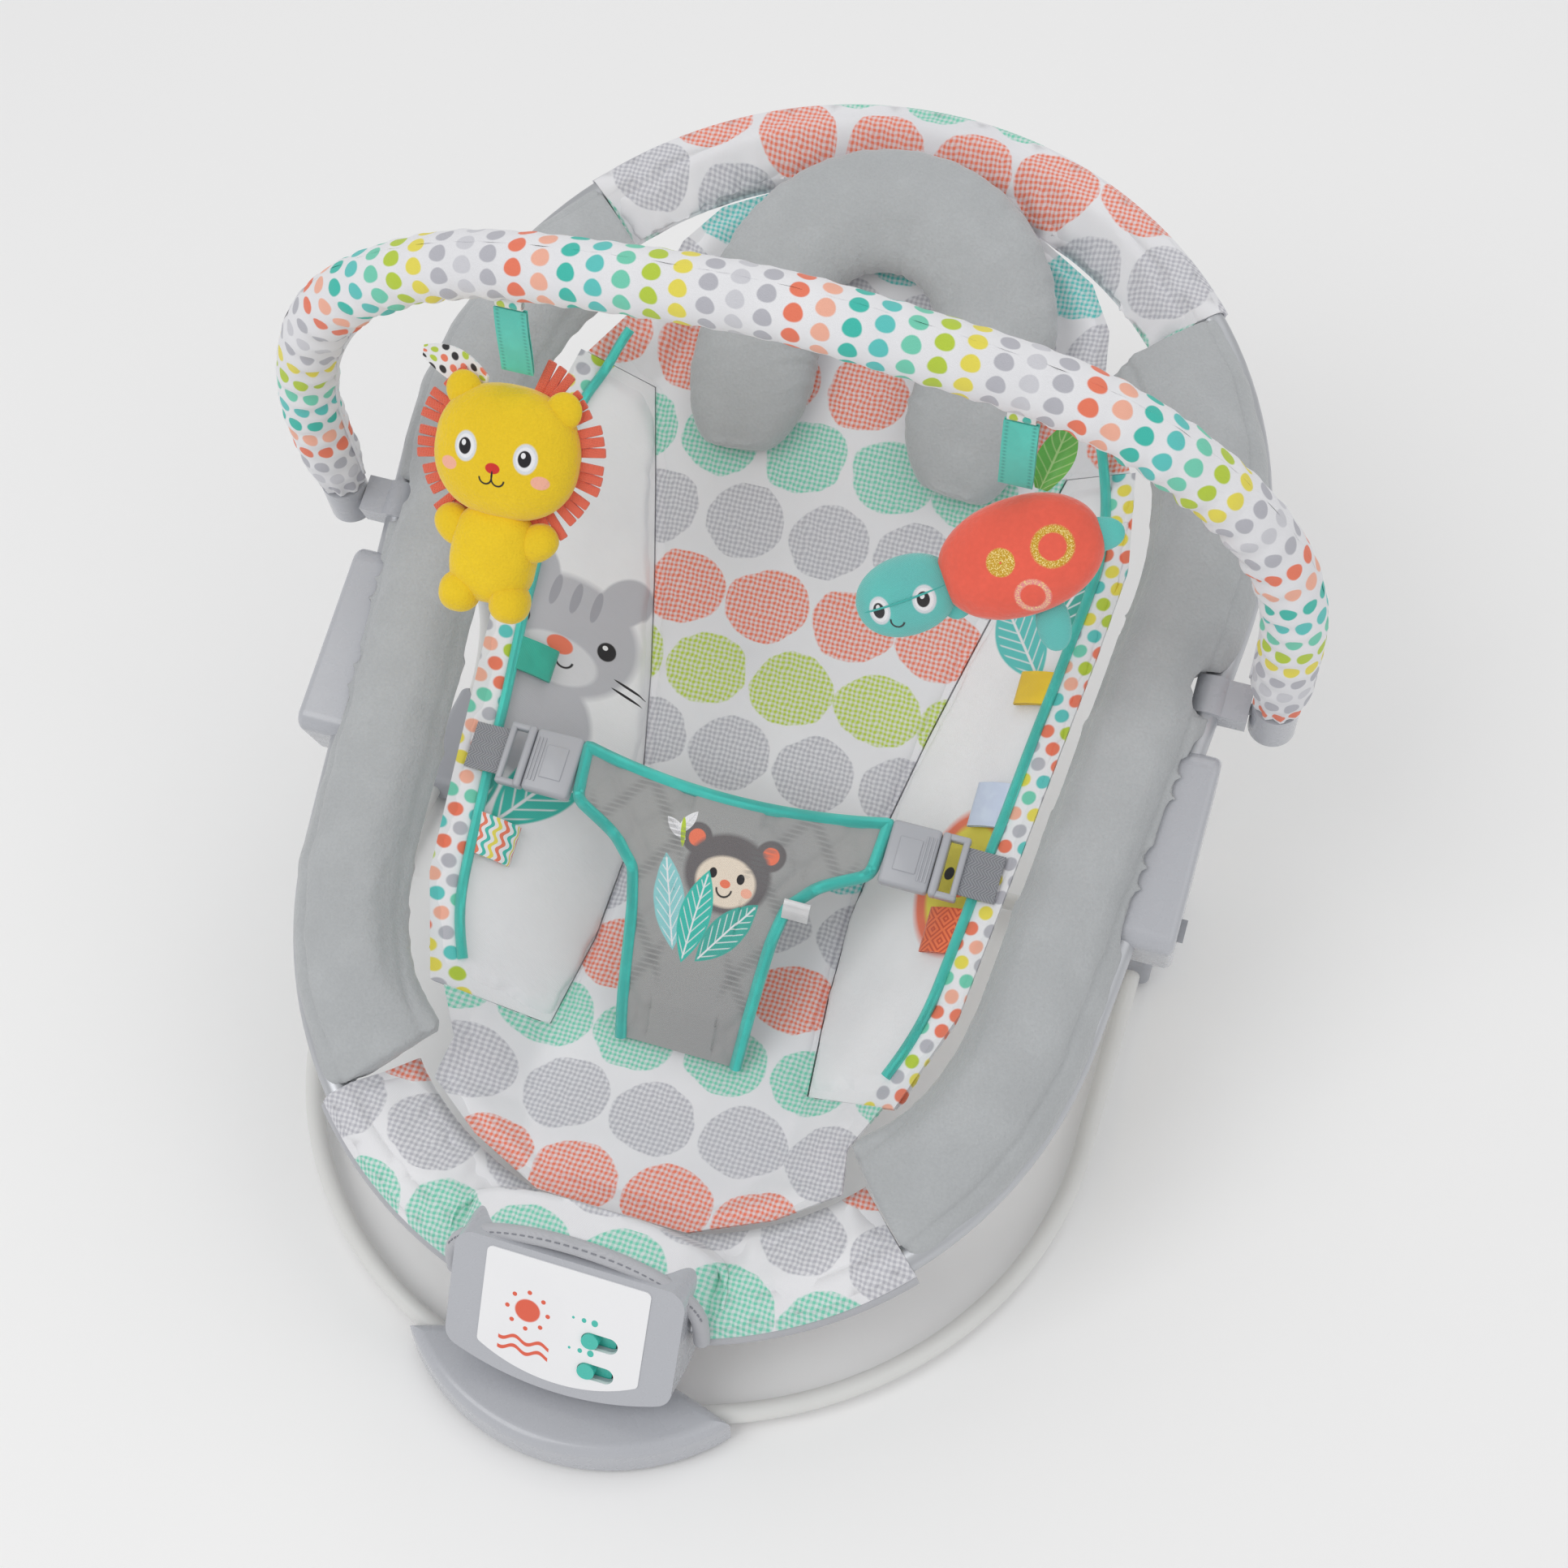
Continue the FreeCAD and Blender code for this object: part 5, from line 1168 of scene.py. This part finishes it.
def strip(name, path, width_axis, width, thick, look, body, replaces=()):
    """A flat woven band along a path, with its UV map in metres."""
    path = [Vector(point) for point in path]
    lengths = [0.0]
    for start, end in zip(path, path[1:]):
        lengths.append(lengths[-1] + (end - start).length)
    total, last = lengths[-1], len(path) - 1

    def place(u, v):
        part = min(v * last, last - 1e-6)
        index = int(part)
        return path[index].lerp(path[index + 1], part - index) + width_axis * (u - 0.5) * width

    band = grid(10, last * 2, place)
    set_uv(band, width, total)
    apply_modifier(band, "SOLIDIFY", thickness=thick, offset=0)
    smooth(band, 60)
    finish_piece(band, name, look, body, replaces)
    return band


def make_buckles():
    """Side-release buckles on both sides of the panel, with their webbing."""
    plastic = moulded("buckle_plastic", srgb(176, 178, 184), 0.35, 0.15)
    weave = webbing_look()
    socket_low, socket_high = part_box("right_buckle_socket")
    tongue_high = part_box("right_buckle_tongue")[1]
    strap_low, strap_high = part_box("right_harness_strap")
    middle, half, bottom, top = BUCKLE_ALONG, 17 * MM, -8 * MM, 1 * MM
    low, high = middle - half, middle + half
    seam = socket_high.x

    def socket():
        shell = seat_block((socket_low.x, low, bottom), (seam, high, top), 2.2 * MM)
        recess = [seat_block((socket_low.x + 6 * MM, middle - 9 * MM, top - 0.4 * MM),
                             (seam - 8 * MM, middle + 9 * MM, top + 0.7 * MM), 1.0 * MM)]
        for index in range(3):
            start = seam - (6.5 - 2.0 * index) * MM
            recess.append(seat_block((start, middle - 12 * MM, top - 0.3 * MM),
                                     (start + 0.9 * MM, middle + 12 * MM, top + 0.6 * MM), 0.3 * MM, 2))
        return join("socket", [shell] + recess)

    def tongue():
        start, end = seam + 0.4 * MM, tongue_high.x
        collar = seat_block((start, low, bottom), (start + 4.5 * MM, high, top), 1.6 * MM)
        pieces = [collar]
        for edge in (low, high - 3.5 * MM):
            far = (end, edge + 3.5 * MM, top - 1 * MM)
            pieces.append(seat_block((start + 3 * MM, edge, bottom + 1 * MM), far, 1.2 * MM))
        pieces.append(seat_block((end - 3.5 * MM, low + 2 * MM, bottom + 4.5 * MM),
                                 (end, high - 2 * MM, top - 0.8 * MM), 1.2 * MM))
        return join("tongue", pieces)

    sockets, tongues = socket(), tongue()
    for side, name in ((1, "right"), (-1, "left")):
        mirror = side < 0
        part = duplicate(sockets, mirror)
        smooth(part)
        finish_piece(part, name + "_buckle_body", plastic, "seat", [name + "_buckle_socket"])
        part = duplicate(tongues, mirror)
        smooth(part)
        finish_piece(part, name + "_buckle_clip", plastic, name + "_tongue",
                     [name + "_buckle_tongue"])
        path = [seat(side * x, middle, (-3.6 + 0.4 * math.sin(x * 260)) * MM)
                for x in np.linspace(strap_low.x + 1 * MM, strap_high.x, 12)]
        follows = (name + "_tongue", "seat", path[0], path[-1])
        strip(name + "_waist_webbing", path, ALONG, 25 * MM, 1.6 * MM, weave, follows,
              [name + "_harness_strap"])
    for spare in (sockets, tongues):
        bpy.data.objects.remove(spare)


def ribbon_looks():
    teal = satin("teal_satin", srgb(44, 172, 150))[0].done()
    wave, plane = satin("wave_ribbon", srgb(244, 240, 238))
    x, y = wave.split(plane)[:2]
    swing = wave.math("SINE", wave.math("MULTIPLY", x, 800.0))
    bent = wave.math("ADD", y, wave.math("MULTIPLY", swing, 0.0011))
    order = [WHITE, CORAL, WHITE, YELLOW, WHITE, TEAL]
    wave.colour = wave.ramp(wave.math("FRACT", wave.math("DIVIDE", bent, 0.0115)), order)
    grosgrain = satin("yellow_grosgrain", srgb(236, 198, 40))[0]
    pale = satin("pale_satin", srgb(206, 218, 240))[0]
    nested, plane = satin("nested_ribbon", srgb(240, 118, 66))
    a, b = nested.split(plane)[:2]

    def off_middle(value):
        share = nested.math("FRACT", nested.math("DIVIDE", value, 0.012))
        return nested.math("ABSOLUTE", nested.math("SUBTRACT", share, 0.5))

    across, upward = off_middle(a), off_middle(b)
    rings = nested.stripes(nested.math("ADD", across, upward), 0.26, 0.42)
    nested.paint(rings, srgb(206, 74, 40))
    return [teal, wave.done(), grosgrain.done(), pale.done(), nested.done()]


def make_ribbons(wings):
    """Five loops of ribbon sewn into the piping, each folded back on itself."""
    top = Surface(wings)
    looks = ribbon_looks()
    places = ((-1, 78, 18), (-1, -22, 22), (1, 128, 18), (1, 62, 24), (1, -8, 24))
    names = ("teal_loop", "wave_loop", "yellow_loop", "pale_loop", "nested_loop")
    for (side, along, width), look, name in zip(places, looks, names):
        along *= MM
        edge, length = half_width(along, BORDER_IN) - 0.5 * MM, 17 * MM
        root = top.top(side * edge, along, 2.2 * MM)
        tip = top.top(side * (edge - length), along, 2.6 * MM)
        rise = (tip - root)
        path = [root + rise * share + OUT * (1.2 * MM * math.sin(share * math.pi))
                for share in np.linspace(0, 1, 10)]
        for angle in np.linspace(0.3, math.pi, 7):
            path.append(tip + rise.normalized() * 1.5 * MM * math.sin(angle)
                        + OUT * 1.5 * MM * (1 - math.cos(angle)))
        path += [tip + OUT * 3 * MM - rise * share
                 + OUT * (1.6 * MM * math.sin(share * math.pi) - 1.6 * MM * share)
                 for share in np.linspace(0.08, 1, 10)]
        strip(name, path, ALONG, width * MM, 0.6 * MM, look, "seat")
    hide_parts("ribbon_loops")


# ---------------------------------------------------------------- toy bar

BAR_LEAN = math.radians(12)
BAR_UP = Vector((0, -math.sin(BAR_LEAN), math.cos(BAR_LEAN)))
BAR_BACK = Vector((0, math.cos(BAR_LEAN), math.sin(BAR_LEAN)))
SLEEVE_RADIUS = 16 * MM
BAR_STRAIGHT, BAR_TOP_RADIUS = 70 * MM, 520 * MM
SLEEVE_START = 14 * MM


def bar_numbers():
    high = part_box("toy_bar_sleeve")[1]
    half = high.x - SLEEVE_RADIUS
    rise = (high.z - SLEEVE_RADIUS - CLAMP.z) / math.cos(BAR_LEAN)
    reach = BAR_TOP_RADIUS - rise + BAR_STRAIGHT
    corner = (BAR_TOP_RADIUS ** 2 - half ** 2 - reach ** 2) / (2 * (BAR_TOP_RADIUS - half))
    return half, rise, corner


def bar_line(count):
    """Evenly spaced points and directions in the bar's own plane, from the left leg to the right."""
    half, rise, corner = bar_numbers()
    spread = math.asin((half - corner) / (BAR_TOP_RADIUS - corner))
    leg = BAR_STRAIGHT - SLEEVE_START
    bend = corner * (math.pi / 2 - spread)
    crown = 2 * BAR_TOP_RADIUS * spread
    total = 2 * (leg + bend) + crown
    rows = []
    for step in range(count + 1):
        d = total * step / count
        mirror = d > total / 2
        e = min(d, total - d)
        if e < leg:
            x, z, angle = -half, SLEEVE_START + e, math.pi / 2
        elif e < leg + bend:
            turn = (e - leg) / corner
            x, z = -half + corner - corner * math.cos(turn), BAR_STRAIGHT + corner * math.sin(turn)
            angle = math.pi / 2 - turn
        else:
            turn = spread - (e - leg - bend) / BAR_TOP_RADIUS
            x, z = -BAR_TOP_RADIUS * math.sin(turn), rise - BAR_TOP_RADIUS + BAR_TOP_RADIUS * math.cos(turn)
            angle = turn
        if mirror:
            x, angle = -x, -angle
        rows.append((d, x, z, angle, e))
    return rows, total, leg, bend


def bar_place(x, z, back=0.0):
    return CLAMP + Vector((x - CLAMP.x, 0, 0)) + BAR_UP * z + BAR_BACK * back


def make_sleeve():
    """The padded fabric sleeve over the bar, gathered inside its bends and at its ends."""
    count, around = 460, 40
    rows, total, leg, bend = bar_line(count)

    def place(u, v):
        d, x, z, angle, e = rows[min(int(round(u * count)), count)]
        turn = v * 2 * math.pi
        inner = 0.5 - 0.5 * math.cos(turn)
        in_bend = math.exp(-((e - leg - bend * 0.5) / (bend * 0.55)) ** 2)
        fold = 0.5 * math.sin(d * 520 + 1.4 * math.sin(turn)) + 0.5 * math.sin(d * 331 + 2.2 * turn)
        ends = math.exp(-(e / (12 * MM)) ** 2)
        radius = SLEEVE_RADIUS - 0.5 * MM
        radius += (0.35 + 1.5 * in_bend * inner) * fold * MM - 0.8 * MM * in_bend * inner
        radius += ends * (1.1 * MM * math.sin(9 * turn) - 3.5 * MM)
        radius += 0.5 * MM * math.sin(d * 47 + turn)
        outward = Vector((-math.sin(angle), 0, 0)) + BAR_UP * math.cos(angle)
        spin = outward * math.cos(turn) + BAR_BACK * math.sin(turn)
        return bar_place(x, z) + spin * radius

    sleeve = grid(count, around, place, wrap=True)
    set_uv(sleeve, total, 2 * math.pi * SLEEVE_RADIUS)
    edit(sleeve, lambda: bpy.ops.mesh.select_all(action="DESELECT"),
         lambda: bpy.ops.mesh.select_non_manifold(), lambda: bpy.ops.mesh.fill_holes(sides=0), recalculate)
    smooth(sleeve, 70)
    finish_piece(sleeve, "bar_sleeve", sleeve_look(), "toy_bar", ["toy_bar_sleeve"])
    seam = tube([bar_place(x, z) + (Vector((math.sin(angle), 0, 0)) - BAR_UP * math.cos(angle)) * 15.6 * MM
                 for d, x, z, angle, e in rows[6:-6:6]], 0.9 * MM)
    look = plain_cloth("white_seam", srgb(236, 236, 240)).done()
    finish_piece(seam, "sleeve_seam", look, "toy_bar")


def make_straps():
    """The loops under the sleeve and the teal straps that carry the toys."""
    loop_cloth = satin("loop_cloth", srgb(238, 240, 238))[0]
    small_dots(loop_cloth, loop_cloth.node("ShaderNodeTexCoord", {}, "UV"), 6 * MM, 2 * MM,
               [TEAL, LIME, CORAL, PRINT_GREY], 1.0)
    loop_look = loop_cloth.done()
    teal, plane = satin("strap_satin", srgb(84, 206, 190))
    x, y = teal.split(plane)[:2]
    edge = teal.math("ABSOLUTE", teal.math("SUBTRACT", x, 8 * MM))
    rim = teal.stripes(edge, 12.4 * MM, 0.05)
    teal.paint(teal.math("MULTIPLY", rim, teal.stripes(y, 2.2 * MM, 0.6)), srgb(40, 150, 138))
    strap_look = teal.done()
    low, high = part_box("toy_loops")
    for side, name, node, body in ((-1, "lion", "lion_strap", "lion_strap"),
                                   (1, "turtle", "turtle_strap", "turtle_strap")):
        strap_low, strap_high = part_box(node)
        x = (strap_low.x + strap_high.x) / 2
        y = (strap_low.y + strap_high.y) / 2
        path = []
        for angle in np.linspace(-math.pi / 2, 1.5 * math.pi, 29):
            path.append(Vector((x, y + 2.2 * MM * math.cos(angle),
                                (low.z + high.z) / 2 + (high.z - low.z) * 0.62 * math.sin(angle))))
        strip(name + "_loop", path, Vector((1, 0, 0)), 13 * MM, 0.7 * MM, loop_look, "toy_bar",
              ["toy_loops"] if side < 0 else ())
        path = []
        length = strap_high.z - strap_low.z
        for share in np.linspace(0, 1, 16):
            front = y - 0.9 * MM - 0.5 * MM * math.sin(share * 5)
            path.append(Vector((x, front, strap_high.z - length * share)))
        for share in np.linspace(0.03, 1, 14):
            rear = y + 0.9 * MM + 0.4 * MM * math.sin(share * 6)
            path.append(Vector((x, rear, strap_low.z + length * share)))
        strip(name + "_strap_band", path, Vector((1, 0, 0)), 16 * MM, 0.7 * MM, strap_look, body,
              [node])


# ---------------------------------------------------------------- toys

TOY_LEAN = math.radians(35)
TOY_UP = Vector((0, math.sin(TOY_LEAN), math.cos(TOY_LEAN)))
TOY_BACK = Vector((0, math.cos(TOY_LEAN), -math.sin(TOY_LEAN)))
TOY_AXES = Matrix((Vector((1, 0, 0)), TOY_BACK, TOY_UP)).transposed()


def toy_top(joint):
    return Vector(joints[joint]["pos_m"]) - Vector((0, 0, 2 * MM))


def soft_ball(origin, centre, radii, turn=0.0, power=2.0, wrinkle=0.0, segments=64):
    """A stuffed shape in a toy's own frame: centre and radii across, back and up."""
    bpy.ops.object.select_all(action="DESELECT")
    bpy.ops.mesh.primitive_uv_sphere_add(segments=segments, ring_count=segments // 2, radius=1)
    obj = new_object()
    p = points_of(obj)
    length = (np.abs(p) ** power).sum(axis=1) ** (1 / power)
    p = p / length[:, None]
    swell = 1 + wrinkle * np.sin(p[:, 0] * 9 + 3 * p[:, 2]) * np.sin(p[:, 2] * 11 + 1) * np.abs(p[:, 1])
    p = p * swell[:, None] * np.array(radii)
    cos, sin = math.cos(turn), math.sin(turn)
    turned = np.stack((p[:, 0] * cos + p[:, 2] * sin, p[:, 1], -p[:, 0] * sin + p[:, 2] * cos), axis=1)
    turned = turned + np.array(centre)
    set_points(obj, turned @ np.array(TOY_AXES).T + np.array(origin))
    edit(obj, recalculate)
    smooth(obj, 80)
    return obj


def toy_plane(look, origin):
    """Coordinates across and up a toy's face."""
    turn = Matrix.Rotation(TOY_LEAN, 3, "X")
    moved = look.mapping(look.place, location=-(turn @ origin), rotation=(TOY_LEAN, 0, 0))
    x, back, up = look.split(moved)
    return look.flat(x, up), back


def embroidered_eye(look, plane, front, x, y, half_x, half_y, turn=0.0):
    for scale, colour, shift in ((1.45, srgb(222, 226, 232), 0), (1.15, WHITE, 0), (0.80, INK, -0.10)):
        mask = look.oval(plane, x + shift * half_x, y, half_x * scale, half_y * scale, turn)
        look.paint(look.math("MULTIPLY", mask, front), colour)
    glint = look.oval(plane, x - 0.3 * half_x, y + 0.3 * half_y, half_x * 0.28, half_y * 0.28)
    look.paint(look.math("MULTIPLY", glint, front), WHITE)


def make_lion():
    origin = toy_top("lion_swing")
    head_down = 36 * MM
    look = plush("yellow_plush", srgb(246, 208, 34), 0.0012, 0.9)
    plane, back = toy_plane(look, origin)
    front = look.span(back, -1 * MM, 0.0, 1.0, 0.0)
    for side in (-1, 1):
        embroidered_eye(look, plane, front, side * 15 * MM, -34 * MM, 3.9 * MM, 5.0 * MM)
    look.paint(look.math("MULTIPLY", look.oval(plane, 23 * MM, -44 * MM, 4.2 * MM, 3.2 * MM), front), PEACH)
    look.paint(look.math("MULTIPLY", look.oval(plane, -23 * MM, -44 * MM, 4.2 * MM, 3.2 * MM), front), PEACH)
    nose = look.oval(plane, 0.0, -41.5 * MM, 3.6 * MM, 2.6 * MM)
    look.paint(look.math("MULTIPLY", nose, front), srgb(214, 52, 44))
    for side in (-1, 1):
        smile = look.arc(plane, side * 3.1 * MM, -46.5 * MM, 3.5 * MM, 0.9 * MM, False)
        look.paint(look.math("MULTIPLY", smile, front), INK)
    stem = look.oval(plane, 0.0, -45 * MM, 0.5 * MM, 2.4 * MM)
    look.paint(look.math("MULTIPLY", stem, front), INK)
    yellow = look.done()
    felt = plain_cloth("coral_felt", srgb(240, 112, 88), 0.0013, 0.00025, 0.9, 0.4).done()
    head = soft_ball(origin, (0, 0, -head_down), (36 * MM, 18 * MM, 32 * MM), 0, 2.3, 0.012)
    finish_piece(head, "lion_head", yellow, "lion", ["lion_toy"])
    fingers = []
    tabs = 15
    for tab in range(tabs):
        if tab in (0, 14):
            continue
        middle = 2 * math.pi * tab / tabs
        for finger in (-1, 0, 1):
            angle = middle + finger * 0.118
            reach = (47 + 1.6 * math.sin(tab * 2.3)) * MM
            piece = box_piece((-2.3 * MM, -1.0 * MM, 27 * MM), (2.3 * MM, 1.0 * MM, reach), 0.7 * MM,
                              segments=2)
            spin = Matrix.Rotation(angle, 4, "Y")
            lean = 1.2 * MM * math.sin(tab * 1.7 + finger)
            place = Matrix.Translation(origin) @ TOY_AXES.to_4x4()
            move = Matrix.Translation((0, 3.5 * MM + lean, -head_down))
            piece.data.transform(place @ move @ spin)
            fingers.append(piece)
    mane = join("mane", fingers)
    smooth(mane)
    finish_piece(mane, "lion_mane", felt, "lion")
    ears = join("ears", [soft_ball(origin, (side * 25 * MM, -2 * MM, -head_down + 25 * MM),
                                   (9 * MM, 5 * MM, 9.5 * MM), side * 0.5, 2.0, 0.0, 28) for side in (-1, 1)])
    finish_piece(ears, "lion_ears", yellow, "lion")
    plain = plush("yellow_body_plush", srgb(246, 208, 34), 0.0012, 0.9).done()
    trunk = soft_ball(origin, (0, 1.5 * MM, -86 * MM), (21 * MM, 14 * MM, 24 * MM), 0, 2.8, 0.02)
    finish_piece(trunk, "lion_trunk", plain, "lion")
    limbs = []
    for side in (-1, 1):
        limbs.append(soft_ball(origin, (side * 21 * MM, 0, -76 * MM), (9 * MM, 8 * MM, 11 * MM), side * 0.9,
                               2.2, 0, 28))
        limbs.append(soft_ball(origin, (side * 13 * MM, -3 * MM, -107 * MM), (10 * MM,) * 3, 0, 2.3, 0,
                               28))
    finish_piece(join("limbs", limbs), "lion_limbs", plain, "lion")
    make_lion_tag(origin)


def make_lion_tag(origin):
    """A printed cloth leaf sewn in beside the ear."""
    cloth, plane = satin("starry_tag", WHITE)
    small_dots(cloth, plane, 6 * MM, 1.9 * MM, [CORAL, TEAL, LIME, INK], 1.0)

    def place(u, v):
        half = 8 * MM * math.sin(math.pi * (0.08 + 0.84 * v)) ** 0.8
        across = -16 * MM - 34 * MM * v
        up = -6 * MM + 8 * MM * v
        bend = 3 * MM + 2 * MM * math.sin(3 * v)
        return origin + TOY_AXES @ Vector((across, bend, up + (2 * u - 1) * half))

    leaf = grid(12, 24, place)
    set_uv(leaf, 16 * MM, 34 * MM)
    apply_modifier(leaf, "SOLIDIFY", thickness=1.6 * MM, offset=0)
    smooth(leaf, 60)
    finish_piece(leaf, "lion_leaf_tag", cloth.done(), "lion")


def make_turtle():
    origin = toy_top("turtle_swing")
    tilt, shell_x, shell_down, neck = math.radians(32), 9 * MM, 29 * MM, 56 * MM
    shell_centre = Vector((shell_x, 0, -shell_down))
    head_centre = Vector((shell_x - neck * math.cos(tilt), 0, -shell_down - neck * math.sin(tilt)))
    fur = plush("coral_plush", srgb(245, 104, 84), 0.0028, 0.95)
    plane, back = toy_plane(fur, origin)
    front = fur.span(back, -1 * MM, 0.0, 1.0, 0.0)
    gold, rose = srgb(206, 160, 40), srgb(240, 150, 150)
    sparkle = fur.noise(fur.place, 1800.0, 1.0)
    spots = ((24, -18, 9.5, 3.2, gold), (3, -30, 6.5, 6.0, gold), (20, -42, 8, 2.4, rose))
    for x, y, radius, width, colour in spots:
        ring = fur.ring(plane, x * MM, y * MM, radius * MM, radius * MM, width * MM)
        fur.paint(fur.math("MULTIPLY", ring, front), colour)
        # Glitter flecks in the rings, with their sparkle painted in as pale gold highlights.
        glitter_painted_sparkle = fur.math("MULTIPLY", ring, fur.span(sparkle, 0.52, 0.60, 0.0, 1.0))
        fur.paint(fur.math("MULTIPLY", glitter_painted_sparkle, front), srgb(250, 226, 150))
    turn = math.pi / 2 - tilt
    shell = soft_ball(origin, shell_centre, (27 * MM, 19 * MM, 39 * MM), turn, 2.15, 0.02, 72)
    finish_piece(shell, "turtle_shell", fur.done(), "turtle", ["turtle_toy"])
    skin = Look("aqua_knit", srgb(96, 206, 198), 0.7, Sheen_Weight=0.35)
    plane, back = toy_plane(skin, origin)
    front = skin.span(back, -1 * MM, 0.0, 1.0, 0.0)
    add_weave(skin, plane, 0.0010, 0.00010)
    shade_cloth(skin, 0.2, 40.0)
    hx, hy = head_centre.x, head_centre.z
    for side, away in ((-1, 8.5), (1, 10.5)):
        embroidered_eye(skin, plane, front, hx + side * away * MM, hy - 1.5 * MM + side * 5 * MM,
                        3.6 * MM, 4.6 * MM, 0.3)
    smile = skin.arc(plane, hx + 0.5 * MM, hy - 9 * MM, 3.6 * MM, 0.9 * MM, False)
    skin.paint(skin.math("MULTIPLY", smile, front), INK)
    aqua = skin.done()
    head = soft_ball(origin, head_centre, (18.5 * MM, 17 * MM, 24.5 * MM), turn, 2.1, 0.01)
    finish_piece(head, "turtle_head", aqua, "turtle")
    seam_look = plain_cloth("aqua_seam", srgb(70, 184, 176)).done()
    line = []
    for angle in np.linspace(-2.6, 2.6, 30):
        flat = Vector((0, -17.4 * MM * math.cos(angle / 2), 24.0 * MM * math.sin(angle / 2)))
        spun = Vector((flat.z * math.sin(turn), flat.y, flat.z * math.cos(turn)))
        line.append(origin + TOY_AXES @ (head_centre + spun))
    finish_piece(tube(line, 0.5 * MM, resolution=2), "turtle_head_seam", seam_look, "turtle")
    flippers = []
    for x, y, angle in ((-14, -52, 0.2), (30, -56, -0.4), (40, -12, 1.2)):
        flippers.append(soft_ball(origin, (x * MM, 2 * MM, y * MM), (8 * MM, 4.5 * MM, 13 * MM), angle,
                                  2.2, 0, 28))
    finish_piece(join("flippers", flippers), "turtle_flippers", aqua, "turtle")
    make_turtle_leaf(origin)


def make_turtle_leaf(origin):
    """A green cloth leaf standing up behind the strap."""
    cloth, plane = satin("leaf_cloth", srgb(110, 190, 84))
    x, y = cloth.split(plane)[:2]
    across = cloth.math("ABSOLUTE", cloth.math("SUBTRACT", x, 8 * MM))
    slant = cloth.math("SUBTRACT", y, across)
    cloth.paint(cloth.stripes(slant, 5 * MM, 0.12), srgb(190, 226, 150))
    cloth.paint(cloth.span(across, 0.3 * MM, 0.7 * MM, 1.0, 0.0), srgb(190, 226, 150))

    def place(u, v):
        half = 8.5 * MM * math.sin(math.pi * (0.10 + 0.88 * v)) ** 0.9
        side = (2 * u - 1) * half
        centre = Vector((11 * MM + 7 * MM * v, 5 * MM + 3 * MM * math.sin(2 * v), 2 * MM + 33 * MM * v))
        return origin + TOY_AXES @ (centre + Vector((side, 1.2 * MM * math.cos(4 * u), 0)))

    leaf = grid(14, 26, place)
    set_uv(leaf, 16 * MM, 34 * MM)
    apply_modifier(leaf, "SOLIDIFY", thickness=1.4 * MM, offset=0)
    smooth(leaf, 60)
    finish_piece(leaf, "turtle_leaf", cloth.done(), "turtle")


# ---------------------------------------------------------------- making it all

make_stage()
make_camera()
add_lamp("key", (-1.2, -1.6, 2.6), (0, 0, 0.2), 1.8, 24)
add_lamp("fill", (1.8, -0.6, 1.8), (0, 0, 0.2), 2.0, 6)
add_lamp("rear", (0.2, 1.8, 2.2), (0, 0, 0.3), 2.0, 7)
dress_frame()
make_bolsters()
apron, apron_look = make_bands()
make_lining()
wings = make_wings()
make_pillow()
make_piping(wings)
make_apron_binding()
make_console_hood(apron, apron_look)
make_crotch_panel()
make_buckles()
make_ribbons(wings)
make_sleeve()
make_straps()
make_lion()
make_turtle()
